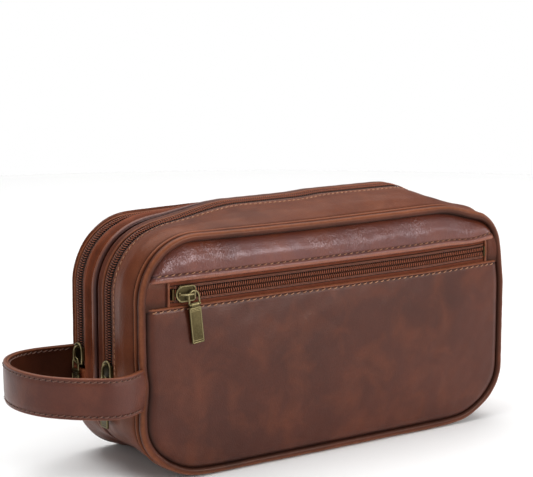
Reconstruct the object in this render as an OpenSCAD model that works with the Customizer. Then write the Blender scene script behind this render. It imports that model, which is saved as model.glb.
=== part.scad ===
// Shaving kit bag: two zipped compartments, a zipped front pocket and a side strap.
// Millimetres. +X runs along the bag, +Y towards its back, +Z up. The origin is on the
// base, under the middle of the body. The front face looks along -Y.

/* [Body] */
// Length of the body, side to side
body_l = 254; // [240:1:280]
// Height of the body, base to top
body_h = 135; // [132:1:150]
// Depth of the body, front face to back face
body_d = 82; // [82:1:96]
// Corner radius of the side bands at the top
top_r = 36; // [33:1:38]
// Corner radius of the side bands at the base
base_r = 33; // [28:1:36]
// Height of the fold where each upper panel bends outwards
fold_z = 68; // [68:0.5:70]
// Gap left at a fold, and round the knuckles that the strap bends at
fold_gap = 0.4; // [0.3:0.1:0.6]
// Height up to which the side bands are closed, below the zips
zip_end_z = 46; // [44:1:46]

/* [Leather and lining] */
// Thickness of the leather
leather_t = 1.6; // [1.2:0.1:1.6]
// Thickness of the foam behind the front panel
foam_t = 2.2; // [1.5:0.1:3]
// Thickness of the lining
lining_t = 0.6; // [0.4:0.1:0.8]
// Thickness of a zip's leather end tab
end_tab_t = 1.2; // [0.8:0.1:1.3]
// Radius of the piping round the front and back panels
piping_r = 2.2; // [1.8:0.1:2.4]
// Radius of the piping on the middle seam
seam_piping_r = 1.75; // [1.4:0.05:1.8]
// How far the back piping sits in from the side bands
rear_piping_inset = 2.2; // [0:0.1:2.4]
// Width of the turned-in seam allowance of a side band
flange_w = 7.2; // [6.8:0.1:9]

/* [Zips] */
// Middle line of the front compartment's zip, along Y
front_zip_y = -7; // [-10:0.5:-7]
// Middle line of the rear compartment's zip, along Y
rear_zip_y = 24.5; // [24:0.5:25]
// Middle line of the seam between the compartments, along Y
seam_y = 6.75; // [6:0.25:7]
// Height of the pocket zip's middle line
pocket_zip_z = 102.5; // [97:0.5:103]
// Height of the gap between the leather edges at the pocket zip
pocket_gap = 13; // [12:0.2:14]
// Width of the gap between the leather edges at a main zip
main_gap = 9.8; // [9.6:0.2:10.4]
// Height of the front slider when its zip is closed
front_slider_z = 57; // [54.8:0.2:57]
// Height of the rear slider when its zip is closed
rear_slider_z = 61; // [58:0.2:61]
// Place of the pocket slider along X when its zip is closed
pocket_slider_x = -99.5; // [-99.5:0.5:-90]
// Half width of the closed zip chain
chain_half = 3; // [2.8:0.1:3.1]
// Width of one tape of a main zip, measured from the middle slit
tape_w = 6.1; // [6:0.1:6.3]

/* [Sliders and pulls] */
// Width of a slider
slider_w = 9; // [8.8:0.1:9.2]
// Length of a slider, along its zip
slider_l = 12.4; // [12:0.2:12.4]
// Length of a pull from its pivot to its tip
pull_reach = 26; // [22:0.5:26]
// Width of a pull tab
tab_w = 7.6; // [6.4:0.2:8]
// Thickness of a pull tab
tab_t = 1.2; // [1:0.1:1.2]

/* [Strap] */
// Width of the strap
strap_w = 24; // [20:1:24]
// Height of the strap's middle line
strap_z = 53; // [52:0.5:54]
// Thickness of the strap
strap_t = 3; // [2:0.2:3.2]
// Distance from the bag's side to the line where the strap bends
strap_root = 13; // [12.6:0.2:14]
// Distance from the bag's side to the far end of the strap
strap_reach = 58; // [54:1:64]
// Outer corner radius of the strap's loop, seen from above
strap_r = 36; // [26:1:38]
// Middle of the strap's front leg, along Y
strap_front_y = -44; // [-46:0.5:-40]
// Middle of the strap's front end where it is sewn in, along Y
strap_sewn_y = -37; // [-37.2:0.1:-36.6]
// Middle of the strap's rear leg, along Y
strap_rear_y = 33; // [33:0.1:34.8]

/* [Hidden] */
$fn = 64;

leather = [0.36, 0.18, 0.11];
leather_light = [0.50, 0.26, 0.15];
leather_dark = [0.26, 0.13, 0.09];
tape_colour = [0.42, 0.20, 0.11];
coil_colour = [0.30, 0.14, 0.09];
lining_colour = [0.20, 0.18, 0.17];
foam_colour = [0.85, 0.82, 0.74];
brass = [0.42, 0.38, 0.24];

far = 400;
half_l = body_l / 2;
front_y = -body_d / 2;                       // outer face of the front panel
rear_y = body_d / 2;                         // outer face of the back panel
front_band_y = front_y + 2 * piping_r;       // front edge of the front side band
rear_band_y = rear_y - 2 * piping_r;         // back edge of the rear side band
front_seam_y = seam_y - seam_piping_r;       // where the front side band meets the seam
rear_seam_y = seam_y + seam_piping_r;        // where the rear side band meets the seam
piping_gap = 0.2;                            // how far the piping stays inside the outline
panel_inset = piping_gap + 2 * piping_r;     // edge of the front panel, from the outline
rear_panel_inset = panel_inset + rear_piping_inset;
divider_inset = 0.8 + seam_piping_r;
divider_half = 1;

pouch_t = 0.3;
pouch_y = front_band_y + leather_t;          // front face of the pocket's back sheet
foam_y = pouch_y + pouch_t;                  // front face of the front foam
front_lining_y = foam_y + foam_t;            // front face of the front lining
rear_lining_y = rear_band_y - leather_t;     // back face of the rear lining

// ---- Zips, with heights measured outwards from the leather's outer face ----
slit = 0.5;                                  // half the slit between two zip tapes
tape_t = 0.8;
coil_top = 0.2;
coil_low = -leather_t;
tape_low = coil_low - tape_t;
lining_to_tape = 0.4;
pocket_tape_half = 9;
pocket_tape_x = half_l - 10;
pocket_end_x = half_l - 17;                  // where the pocket zip's coils end
end_tab_x = half_l - 19.2;                   // inner edge of the pocket's left end tab
stop_l = 1.5;
stop_clear = 0.2;
end_tab_gap = 0.3;
end_tab_l = 8;
end_tab_half = 6.6;

// ---- Sliders and pulls, with the same heights ----
plate_t = 1;
plate_low = coil_top + 0.3;
plate_top = plate_low + plate_t;
back_plate_top = tape_low - 0.3;
rail_w = 1;
rail_l = 7.6;
rail_low = coil_low + 0.4;
post_half = 0.3;
post_l = 3;
link_t = 1;
link_low = plate_top + 0.9;
link_mid = link_low + link_t / 2;
bridge_t = 1;
bridge_w = 1.6;
bridge_low = link_low + link_t + 0.3;
bridge_half = 4.6;
foot_r = 0.9;                                // round foot of the bridge, the link's pivot
far_foot_l = 1.4;
pivot_at = bridge_half - foot_r;             // from the slider's middle to the pivot
ring_in = 2.7;
ring_out = 3.6;
ring_drop = 1.65;                            // from the pivot down to the ring's middle
pin_at = 5.9;                                // from the pivot down to the link's pin
pin_r = 0.6;
pin_bore_r = 0.67;
arm_end_r = 1;
barrel_r = 1.15;
barrel_half = 2.5;
plate_from = pin_at + 1.4;                   // where the tab's wide plate begins

// ---- Profiles and cuts ----

// Rounded outline in the XZ plane with separate corner radii at the top and the base
module outline(half, z0, z1, r_top, r_base) {
    translate([-half, z0 + r_base]) square([2 * half, z1 - r_top - z0 - r_base]);
    translate([-half + r_top, z0 + r_base]) square([2 * (half - r_top), z1 - z0 - r_base]);
    translate([-half + r_base, z0]) square([2 * (half - r_base), z1 - r_top - z0]);
    for (s = [-1, 1]) {
        translate([s * (half - r_top), z1 - r_top]) circle(r_top);
        translate([s * (half - r_base), z0 + r_base]) circle(r_base);
    }
}

// The outline moved in by i on every side, with its base at height z0
module inset_outline(i, z0) outline(half_l - i, z0, body_h - i, top_r - i, base_r - i);
module body_outline(i) inset_outline(i, i);

// A flat profile drawn in XZ, made solid between two places along Y
module slab(ya, yb) translate([0, max(ya, yb), 0]) rotate([90, 0, 0])
    linear_extrude(abs(yb - ya)) children();

// A band that follows the body's outline, from inset i0 in to inset i1
module band(ya, yb, i0, i1) slab(ya, yb) difference() {
    body_outline(i0);
    body_outline(i1);
}

module between(z0, z1) intersection() {
    children();
    translate([-far, -far, z0]) cube([2 * far, 2 * far, z1 - z0]);
}
module above(z) between(z, far) children();
module below(z) between(-far, z) children();
module upper_part() above(fold_z + fold_gap / 2) children();
module lower_part() below(fold_z - fold_gap / 2) children();

// ---- Piping ----

module rod_x(x0, x1, z, r) translate([x0, 0, z]) rotate([0, 90, 0]) cylinder(r = r, h = x1 - x0);
module rod_z(x, z0, z1, r) translate([x, 0, z0]) cylinder(r = r, h = z1 - z0);
module bent_rod(x, z, bend, r, start) translate([x, 0, z]) rotate([90, 0, 0]) rotate([0, 0, start])
    rotate_extrude(angle = 90) translate([bend, 0]) circle(r);

// Piping over the top of an outline, from height z0 up
module piping_arch(y, half, z0, z1, bend, r) translate([0, y, 0]) {
    rod_x(-half + bend, half - bend, z1, r);
    rod_z(-half, z0, z1 - bend, r);
    rod_z(half, z0, z1 - bend, r);
    bent_rod(-half + bend, z1 - bend, bend, r, 90);
    bent_rod(half - bend, z1 - bend, bend, r, 0);
}

// Piping along the base of an outline, up to height z1
module piping_trough(y, half, z0, z1, bend, r) translate([0, y, 0]) {
    rod_x(-half + bend, half - bend, z0, r);
    rod_z(-half, z0 + bend, z1, r);
    rod_z(half, z0 + bend, z1, r);
    bent_rod(-half + bend, z0 + bend, bend, r, 180);
    bent_rod(half - bend, z0 + bend, bend, r, 270);
}

// Piping round a panel, with its middle line moved in by i
module panel_piping_upper(y, i) piping_arch(y, half_l - i, fold_z + fold_gap / 2, body_h - i,
    top_r - i, piping_r);
module panel_piping_lower(y, i) piping_trough(y, half_l - i, piping_r, fold_z - fold_gap / 2,
    base_r - i, piping_r);

// ---- Side bands, tapes, coils and lining of one compartment ----
// face is the band's edge at the panel, zip its zip's middle line, seam its edge at the
// middle seam, and out is -1 for the front compartment and 1 for the rear one.

module outer_band(face, zip, out) {
    band(face, zip + out * main_gap / 2, 0, leather_t);
    band(face, face - out * leather_t, 0, flange_w);
}
module gusset_outer(face, zip, out) upper_part() outer_band(face, zip, out);
module gusset_lower(face, zip, seam, out) {
    lower_part() outer_band(face, zip, out);
    below(zip_end_z) band(face, seam, 0, leather_t);
}
module gusset_inner(zip, seam, out)
    above(zip_end_z) band(zip - out * main_gap / 2, seam, 0, leather_t);

module half_tape(zip, out) above(zip_end_z)
    band(zip + out * slit, zip + out * tape_w, leather_t, leather_t + tape_t);
module half_coil(zip, slider_z, out) above(slider_z - slider_l / 2 - stop_clear)
    band(zip + out * slit, zip + out * chain_half, -coil_top, -coil_low);

module lining_outer(back, zip, out) {
    slab(back, back - out * lining_t) body_outline(leather_t);
    band(back, zip + out * (tape_w + lining_to_tape), leather_t, leather_t + lining_t);
}
module lining_upper(back, zip, out) upper_part() lining_outer(back, zip, out);
module lining_lower(back, zip, seam, out) {
    lower_part() lining_outer(back, zip, out);
    below(zip_end_z) band(back, seam, leather_t, leather_t + lining_t);
    above(zip_end_z)
        band(zip - out * (tape_w + lining_to_tape), seam, leather_t, leather_t + lining_t);
}

// Stops under the slider, at both ends of a main zip
function stop_top(slider_z) = slider_z - slider_l / 2 - stop_clear;
module main_stops(zip, slider_z) between(stop_top(slider_z) - stop_l, stop_top(slider_z))
    band(zip - chain_half, zip + chain_half, -coil_top, -coil_low);

// Leather tabs over the lower ends of a main zip
module main_end_tabs(zip, slider_z) {
    top = stop_top(slider_z) - stop_l - end_tab_gap;
    between(top - end_tab_l, top) band(zip - end_tab_half, zip + end_tab_half, -end_tab_t, 0);
}

// ---- Panels, pocket and pocket zip ----

module front_leather() slab(front_y, front_y + leather_t) body_outline(panel_inset);
module rear_leather() slab(rear_y - leather_t, rear_y)
    inset_outline(rear_panel_inset, panel_inset);
module front_foam() slab(foam_y, foam_y + foam_t) body_outline(leather_t);
module rear_foam() slab(rear_lining_y, rear_y - leather_t) body_outline(flange_w);
module pouch() below(pocket_zip_z + pocket_tape_half)
    slab(pouch_y, pouch_y + pouch_t) body_outline(leather_t);

// A strip along the pocket zip, from v0 to v1 above its middle line
module pocket_strip(x0, x1, v0, v1, w0, w1)
    translate([x0, front_y - w1, pocket_zip_z + v0]) cube([x1 - x0, w1 - w0, v1 - v0]);
module pocket_tape(v0, v1)
    pocket_strip(-pocket_tape_x, pocket_tape_x, v0, v1, tape_low, coil_low);
module pocket_coil(v0, v1) pocket_strip(pocket_slider_x - slider_l / 2 - stop_clear,
    pocket_end_x - stop_clear, v0, v1, coil_low, coil_top);
module pocket_stop(x) pocket_strip(x, x + stop_l, -chain_half, chain_half, coil_low, coil_top);
module pocket_end_tab(x0, x1) intersection() {
    pocket_strip(x0, x1, -pocket_gap / 2, pocket_gap / 2, coil_low, coil_low + end_tab_t);
    front_leather();
}

// ---- Sliders and pulls ----
// Drawn with the zip along Y, the slider's middle at the origin and the leather's outer
// face at Z = 0. The bridge's round foot, which the pull hangs from, is on the -Y side.

module slider_plate() intersection() {
    union() {
        translate([0, (slider_l - slider_w) / 2]) circle(d = slider_w);
        translate([-slider_w / 2, -slider_l / 2])
            square([slider_w, slider_l - slider_w / 2]);
    }
    circle(d = 1.16 * slider_l);
}
module slider() {
    translate([0, 0, plate_low]) linear_extrude(plate_t) slider_plate();
    translate([0, 0, back_plate_top - plate_t]) linear_extrude(plate_t) slider_plate();
    for (x = [-slider_w / 2, slider_w / 2 - rail_w]) translate([x, -rail_l / 2, rail_low])
        cube([rail_w, rail_l, plate_low - rail_low]);
    translate([-post_half, -post_l / 2, back_plate_top])
        cube([2 * post_half, post_l, plate_low - back_plate_top]);
    translate([0, -pivot_at, plate_top]) cylinder(r = foot_r, h = bridge_low - plate_top);
    translate([-bridge_w / 2, bridge_half - far_foot_l, plate_top])
        cube([bridge_w, far_foot_l, bridge_low - plate_top]);
    translate([-bridge_w / 2, -bridge_half, bridge_low])
        cube([bridge_w, 2 * bridge_half, bridge_t]);
}

// An arch of radius r round the ring's middle, with straight legs down to y0
module arch(r, y0) {
    translate([0, -ring_drop]) circle(r);
    translate([-r, y0]) square([2 * r, -ring_drop - y0]);
}

// The link turns on the slider's round foot, at the origin, and hangs along -Y
module pull_link() {
    translate([0, 0, link_low]) linear_extrude(link_t) difference() {
        arch(ring_out, -pin_at);
        arch(ring_in, -pin_at - 1);
    }
    translate([-ring_out, -pin_at, link_mid]) rotate([0, 90, 0])
        cylinder(r = pin_r, h = 2 * ring_out);
    for (x = [-ring_out, ring_in]) translate([x, -pin_at, link_mid]) rotate([0, 90, 0])
        cylinder(r = arm_end_r, h = ring_out - ring_in);
}

// The tab turns on the link's pin
module pull_tab() translate([0, 0, link_mid]) difference() {
    union() {
        translate([-barrel_half, -pin_at, 0]) rotate([0, 90, 0])
            cylinder(r = barrel_r, h = 2 * barrel_half);
        translate([-barrel_half, -plate_from, -tab_t / 2])
            cube([2 * barrel_half, plate_from - pin_at, tab_t]);
        translate([-tab_w / 2, -pull_reach, -tab_t / 2])
            cube([tab_w, pull_reach - plate_from, tab_t]);
    }
    translate([-tab_w, -pin_at, 0]) rotate([0, 90, 0]) cylinder(r = pin_bore_r, h = 2 * tab_w);
}

// The left side: the zip runs up and the face looks to the left
module on_side(y, z) translate([-half_l, y, z]) rotate([0, 0, -90]) rotate([90, 0, 0]) children();
module side_pull(y, z) on_side(y, z - pivot_at) children();

// The front: the zip runs to the left and the face looks to the front
module on_front(x) translate([x, front_y, pocket_zip_z]) rotate([90, 0, 0]) children();
module front_pull() on_front(pocket_slider_x + pivot_at) children();

// ---- Strap ----

// The strap's loop seen from above, moved in by i
module strap_loop(i) {
    x = -half_l - strap_reach + i;
    y0 = strap_front_y - strap_t / 2 + i;
    y1 = strap_rear_y + strap_t / 2 - i;
    r = strap_r - i;
    translate([x + r, y0]) square([-half_l - strap_root - x - r, y1 - y0]);
    translate([x, y0 + r]) square([r, y1 - y0 - 2 * r]);
    translate([x + r, y0 + r]) circle(r);
    translate([x + r, y1 - r]) circle(r);
}
// A disc of radius r round the line that the strap bends about, from y0 to y1
module strap_disc(r, y0, y1) translate([-half_l - strap_root, y0, strap_z]) rotate([-90, 0, 0])
    cylinder(r = r, h = y1 - y0);
module strap_leg_end(y) strap_disc(strap_w / 2, y - strap_t / 2, y + strap_t / 2);
module strap_body() {
    translate([0, 0, strap_z - strap_w / 2]) linear_extrude(strap_w) intersection() {
        difference() {
            strap_loop(0);
            strap_loop(strap_t);
        }
        translate([-far, -far]) square([far - half_l - strap_root, 2 * far]);
    }
    strap_leg_end(strap_front_y);
    strap_leg_end(strap_rear_y);
}
// The sewn-in end of a leg: its middle goes from y_in at the bag to y_out at the bend
module strap_stub(y_in, y_out) difference() {
    translate([-half_l, 0, strap_z - strap_w / 2]) linear_extrude(strap_w) polygon([
        [0, y_in - strap_t / 2],
        [0, y_in + strap_t / 2],
        [-strap_root, y_out + strap_t / 2],
        [-strap_root, y_out - strap_t / 2],
    ]);
    strap_disc(strap_w / 2 + fold_gap, -far, far);
}

// ---- Sub-parts that stay with the case ----

module pocket_panel_lower() color(leather) lower_part() front_leather();
module front_piping_lower() color(leather)
    panel_piping_lower(front_y + piping_r, piping_gap + piping_r);
module front_gusset_lower() color(leather)
    gusset_lower(front_band_y, front_zip_y, front_seam_y, -1);
module front_gusset_inner() color(leather) gusset_inner(front_zip_y, front_seam_y, -1);
module front_zip_tape_inner() color(tape_colour) half_tape(front_zip_y, 1);
module front_zip_coil_inner() color(coil_colour) half_coil(front_zip_y, front_slider_z, 1);
module front_zip_tape_ends() color(tape_colour) lower_part() half_tape(front_zip_y, -1);
module front_zip_coil_ends() color(coil_colour)
    lower_part() half_coil(front_zip_y, front_slider_z, -1);
module front_zip_stops() color(brass) main_stops(front_zip_y, front_slider_z);
module front_zip_end_tabs() color(leather_light) main_end_tabs(front_zip_y, front_slider_z);
module front_foam_lower() color(foam_colour) lower_part() front_foam();
module front_lining_lower() color(lining_colour)
    lining_lower(front_lining_y, front_zip_y, front_seam_y, -1);
module pocket_pouch_lower() color(lining_colour) lower_part() pouch();
module divider() color(lining_colour) slab(seam_y - divider_half, seam_y + divider_half)
    inset_outline(divider_inset, 2 * seam_piping_r);
module seam_piping() color(leather_dark) {
    i = divider_inset - seam_piping_r;
    piping_arch(seam_y, half_l - i, fold_z, body_h - i, top_r - i, seam_piping_r);
    piping_trough(seam_y, half_l - i, seam_piping_r, fold_z, base_r - i, seam_piping_r);
}
module rear_gusset_inner() color(leather_light) gusset_inner(rear_zip_y, rear_seam_y, 1);
module rear_gusset_lower() color(leather)
    gusset_lower(rear_band_y, rear_zip_y, rear_seam_y, 1);
module rear_zip_tape_inner() color(tape_colour) half_tape(rear_zip_y, -1);
module rear_zip_coil_inner() color(coil_colour) half_coil(rear_zip_y, rear_slider_z, -1);
module rear_zip_tape_ends() color(tape_colour) lower_part() half_tape(rear_zip_y, 1);
module rear_zip_coil_ends() color(coil_colour)
    lower_part() half_coil(rear_zip_y, rear_slider_z, 1);
module rear_zip_stops() color(brass) main_stops(rear_zip_y, rear_slider_z);
module rear_zip_end_tabs() color(leather_light) main_end_tabs(rear_zip_y, rear_slider_z);
module rear_panel_lower() color(leather) lower_part() rear_leather();
module rear_piping_lower() color(leather)
    panel_piping_lower(rear_y - piping_r, rear_panel_inset - piping_r);
module rear_foam_lower() color(foam_colour) lower_part() rear_foam();
module rear_lining_lower() color(lining_colour)
    lining_lower(rear_lining_y, rear_zip_y, rear_seam_y, 1);
module strap_roots() color(leather) {
    strap_stub(strap_sewn_y, strap_front_y);
    strap_stub(strap_rear_y, strap_rear_y);
}

// ---- Sub-parts on the front flap ----

module front_panel_upper() color(leather) above(pocket_zip_z + pocket_gap / 2) front_leather();
module pocket_panel_upper() color(leather)
    upper_part() below(pocket_zip_z - pocket_gap / 2) front_leather();
module front_piping_upper() color(leather)
    panel_piping_upper(front_y + piping_r, piping_gap + piping_r);
module front_gusset_outer() color(leather) gusset_outer(front_band_y, front_zip_y, -1);
module front_zip_tape_outer() color(tape_colour) upper_part() half_tape(front_zip_y, -1);
module front_zip_coil_outer() color(coil_colour)
    upper_part() half_coil(front_zip_y, front_slider_z, -1);
module front_foam_upper() color(foam_colour) upper_part() front_foam();
module front_lining_upper() color(lining_colour)
    lining_upper(front_lining_y, front_zip_y, -1);
module pocket_pouch_upper() color(lining_colour) upper_part() pouch();
module pocket_zip_tapes() color(tape_colour) {
    pocket_tape(-pocket_tape_half, -slit);
    pocket_tape(slit, pocket_tape_half);
}
module pocket_zip_coils() color(coil_colour) {
    pocket_coil(-chain_half, -slit);
    pocket_coil(slit, chain_half);
}
module pocket_zip_stops() color(brass) {
    pocket_stop(pocket_slider_x - slider_l / 2 - 2 * stop_clear - stop_l);
    pocket_stop(pocket_end_x);
}
module pocket_end_tab_left() color(leather) pocket_end_tab(-half_l, -end_tab_x);
module pocket_end_tab_right() color(leather)
    pocket_end_tab(pocket_end_x + stop_l + end_tab_gap, half_l);

// ---- Sub-parts on the rear flap ----

module rear_panel_upper() color(leather) upper_part() rear_leather();
module rear_piping_upper() color(leather)
    panel_piping_upper(rear_y - piping_r, rear_panel_inset - piping_r);
module rear_gusset_outer() color(leather) gusset_outer(rear_band_y, rear_zip_y, 1);
module rear_zip_tape_outer() color(tape_colour) upper_part() half_tape(rear_zip_y, 1);
module rear_zip_coil_outer() color(coil_colour)
    upper_part() half_coil(rear_zip_y, rear_slider_z, 1);
module rear_foam_upper() color(foam_colour) upper_part() rear_foam();
module rear_lining_upper() color(lining_colour) lining_upper(rear_lining_y, rear_zip_y, 1);

// ---- Strap, sliders and pulls ----

module strap() color(leather) strap_body();
module pocket_slider() color(brass) on_front(pocket_slider_x) rotate([0, 0, 90]) slider();
module pocket_pull_link() color(brass) front_pull() pull_link();
module pocket_pull_tab() color(brass) front_pull() pull_tab();
module front_slider() color(brass) on_side(front_zip_y, front_slider_z) slider();
module front_pull_link() color(brass) side_pull(front_zip_y, front_slider_z) pull_link();
module front_pull_tab() color(brass) side_pull(front_zip_y, front_slider_z) pull_tab();
module rear_slider() color(brass) on_side(rear_zip_y, rear_slider_z) slider();
module rear_pull_link() color(brass) side_pull(rear_zip_y, rear_slider_z) pull_link();
module rear_pull_tab() color(brass) side_pull(rear_zip_y, rear_slider_z) pull_tab();

pocket_panel_lower();
front_piping_lower();
front_gusset_lower();
front_gusset_inner();
front_zip_tape_inner();
front_zip_coil_inner();
front_zip_tape_ends();
front_zip_coil_ends();
front_zip_stops();
front_zip_end_tabs();
front_foam_lower();
front_lining_lower();
pocket_pouch_lower();
divider();
seam_piping();
rear_gusset_inner();
rear_gusset_lower();
rear_zip_tape_inner();
rear_zip_coil_inner();
rear_zip_tape_ends();
rear_zip_coil_ends();
rear_zip_stops();
rear_zip_end_tabs();
rear_panel_lower();
rear_piping_lower();
rear_foam_lower();
rear_lining_lower();
strap_roots();
front_panel_upper();
pocket_panel_upper();
front_piping_upper();
front_gusset_outer();
front_zip_tape_outer();
front_zip_coil_outer();
front_foam_upper();
front_lining_upper();
pocket_pouch_upper();
pocket_zip_tapes();
pocket_zip_coils();
pocket_zip_stops();
pocket_end_tab_left();
pocket_end_tab_right();
rear_panel_upper();
rear_piping_upper();
rear_gusset_outer();
rear_zip_tape_outer();
rear_zip_coil_outer();
rear_foam_upper();
rear_lining_upper();
strap();
pocket_slider();
pocket_pull_link();
pocket_pull_tab();
front_slider();
front_pull_link();
front_pull_tab();
rear_slider();
rear_pull_link();
rear_pull_tab();
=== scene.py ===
import math

import bmesh
import bpy
import numpy as np
from mathutils import Matrix, Vector


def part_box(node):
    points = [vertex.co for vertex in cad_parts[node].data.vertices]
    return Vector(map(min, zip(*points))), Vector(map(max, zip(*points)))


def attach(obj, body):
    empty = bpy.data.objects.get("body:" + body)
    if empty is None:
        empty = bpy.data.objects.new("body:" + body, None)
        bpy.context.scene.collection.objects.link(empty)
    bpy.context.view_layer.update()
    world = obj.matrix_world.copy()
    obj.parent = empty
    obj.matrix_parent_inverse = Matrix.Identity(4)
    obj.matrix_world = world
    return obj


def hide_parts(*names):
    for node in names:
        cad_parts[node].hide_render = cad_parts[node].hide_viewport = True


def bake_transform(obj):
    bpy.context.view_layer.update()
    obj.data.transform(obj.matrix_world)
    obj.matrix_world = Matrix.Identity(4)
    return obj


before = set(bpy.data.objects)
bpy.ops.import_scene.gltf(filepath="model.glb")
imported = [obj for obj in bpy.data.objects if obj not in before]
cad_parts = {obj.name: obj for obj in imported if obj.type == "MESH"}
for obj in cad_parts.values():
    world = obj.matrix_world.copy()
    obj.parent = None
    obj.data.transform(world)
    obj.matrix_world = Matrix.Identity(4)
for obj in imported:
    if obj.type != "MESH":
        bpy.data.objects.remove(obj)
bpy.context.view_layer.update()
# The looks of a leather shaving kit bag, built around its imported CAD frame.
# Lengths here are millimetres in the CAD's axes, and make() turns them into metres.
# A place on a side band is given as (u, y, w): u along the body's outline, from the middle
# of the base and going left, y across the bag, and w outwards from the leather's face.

MM = 0.001
X, Y, Z = 0, 1, 2


# ---- Places read from the frame ----

def low(node, axis):
    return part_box(node)[0][axis] / MM


def high(node, axis):
    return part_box(node)[1][axis] / MM


def both(node, axis):
    return low(node, axis), high(node, axis)


def middle(node, axis):
    return sum(both(node, axis)) / 2


HALF_L = high("front_gusset_outer", X)
TOP = high("front_gusset_outer", Z)
FRONT_Y = low("pocket_panel_lower", Y)
BACK_Y = high("rear_panel_lower", Y)
FRONT_BAND = low("front_gusset_outer", Y)
REAR_BAND = high("rear_gusset_outer", Y)
FRONT_ZIP = middle("front_zip_stops", Y)
REAR_ZIP = middle("rear_zip_stops", Y)
SEAM_Y = middle("seam_piping", Y)
SEAM_HALF = high("seam_piping", Y) - SEAM_Y
ZIP_GAP = FRONT_ZIP - high("front_gusset_outer", Y)
ZIP_END = low("front_gusset_inner", Z)
POCKET_Z = middle("pocket_zip_stops", Z)
POCKET_LOW = high("pocket_panel_upper", Z)
POCKET_HIGH = low("front_panel_upper", Z)
POCKET_LEFT = high("pocket_end_tab_left", X)
POCKET_RIGHT = low("pocket_end_tab_right", X)
POCKET_COIL = both("pocket_zip_coils", X)
FRONT_STOP = both("front_zip_stops", Z)
REAR_STOP = both("rear_zip_stops", Z)
FRONT_TAB = both("front_zip_end_tabs", Z)
REAR_TAB = both("rear_zip_end_tabs", Z)
POUCH_Y = low("pocket_pouch_lower", Y)
FRONT_FOAM = both("front_foam_lower", Y)
REAR_FOAM = both("rear_foam_lower", Y)
PIPING_R = (high("front_piping_lower", Y) - low("front_piping_lower", Y)) / 2
STRAP_Z = middle("strap", Z)
STRAP_HALF = (high("strap", Z) - low("strap", Z)) / 2

TOP_R = 36.0
BASE_R = 33.0
LEATHER_T = 1.6
TAPE_T = 0.8
EDGE_R = 0.8         # of a panel's turned edge
STITCH_PITCH = 4.2
COIL_PITCH = 1.43
CORNER_POINTS = 46

# What a piece moves with: one body, or two bodies at a fold, which make() doesn't use to attach or
# bend it
FRONT_FOLD = ("case", "front_flap", (0, 0, 61), (0, 0, 88))
REAR_FOLD = ("case", "rear_flap", (0, 0, 66), (0, 0, 90))
STRAP_BEND = ("case", "strap", (-HALF_L - 1, 0, STRAP_Z), (-HALF_L - 24, 0, STRAP_Z))


# ---- Shapes of lines and surfaces ----

def step(a, b, v):
    """0 up to a, 1 from b on, and smooth between them."""
    t = np.clip((np.asarray(v, float) - a) / (b - a), 0, 1)
    return t * t * (3 - 2 * t)


def bump(centre, width, v):
    return np.exp(-(((np.asarray(v, float) - centre) / width) ** 2))


def ripple(a, b, scale, seed, terms=7):
    """A smooth random surface over (a, b) mm, about -1 to 1, whose waves are near scale mm."""
    rng = np.random.default_rng(seed)
    total = 0.0
    for _ in range(terms):
        angle, phase = rng.uniform(0, 2 * math.pi, 2)
        k = 2 * math.pi / (scale * rng.uniform(0.7, 1.5))
        total = total + np.sin(k * (math.cos(angle) * a + math.sin(angle) * b) + phase)
    return total / math.sqrt(2 * terms)


def stack(*parts):
    """Arrays of x, y and z, or of u, y and w, as one array of points."""
    return np.stack(np.broadcast_arrays(*parts), -1)


def unit(v):
    return v / np.linalg.norm(v, axis=-1, keepdims=True)


def run_of(line):
    """How far along a line each of its points is."""
    return np.concatenate([[0], np.cumsum(np.linalg.norm(np.diff(line, axis=0), axis=1))])


def arc(x, y, r, start, end, count):
    """Points on a circle's arc, between two angles in degrees."""
    return [(x + r * math.cos(a), y + r * math.sin(a))
            for a in np.radians(np.linspace(start, end, count))]


def flow(points, count=None, spacing=None):
    """A smooth curve through points, as count points, or as points about spacing apart."""
    p = np.asarray(points, float)
    p = np.vstack([2 * p[0] - p[1], p, 2 * p[-1] - p[-2]])
    t = np.linspace(0, 1, 24, endpoint=False)[:, None]
    parts = []
    for a, b, c, d in zip(p, p[1:], p[2:], p[3:]):
        parts.append(0.5 * (2 * b + (c - a) * t + (2 * a - 5 * b + 4 * c - d) * t**2
                            + (3 * b - a - 3 * c + d) * t**3))
    line = np.vstack([*parts, p[-2:-1]])
    run = run_of(line)
    if count is None:
        count = max(2, int(round(run[-1] / spacing)) + 1)
    at = np.linspace(0, run[-1], count)
    return stack(*(np.interp(at, run, column) for column in line.T))


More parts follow.
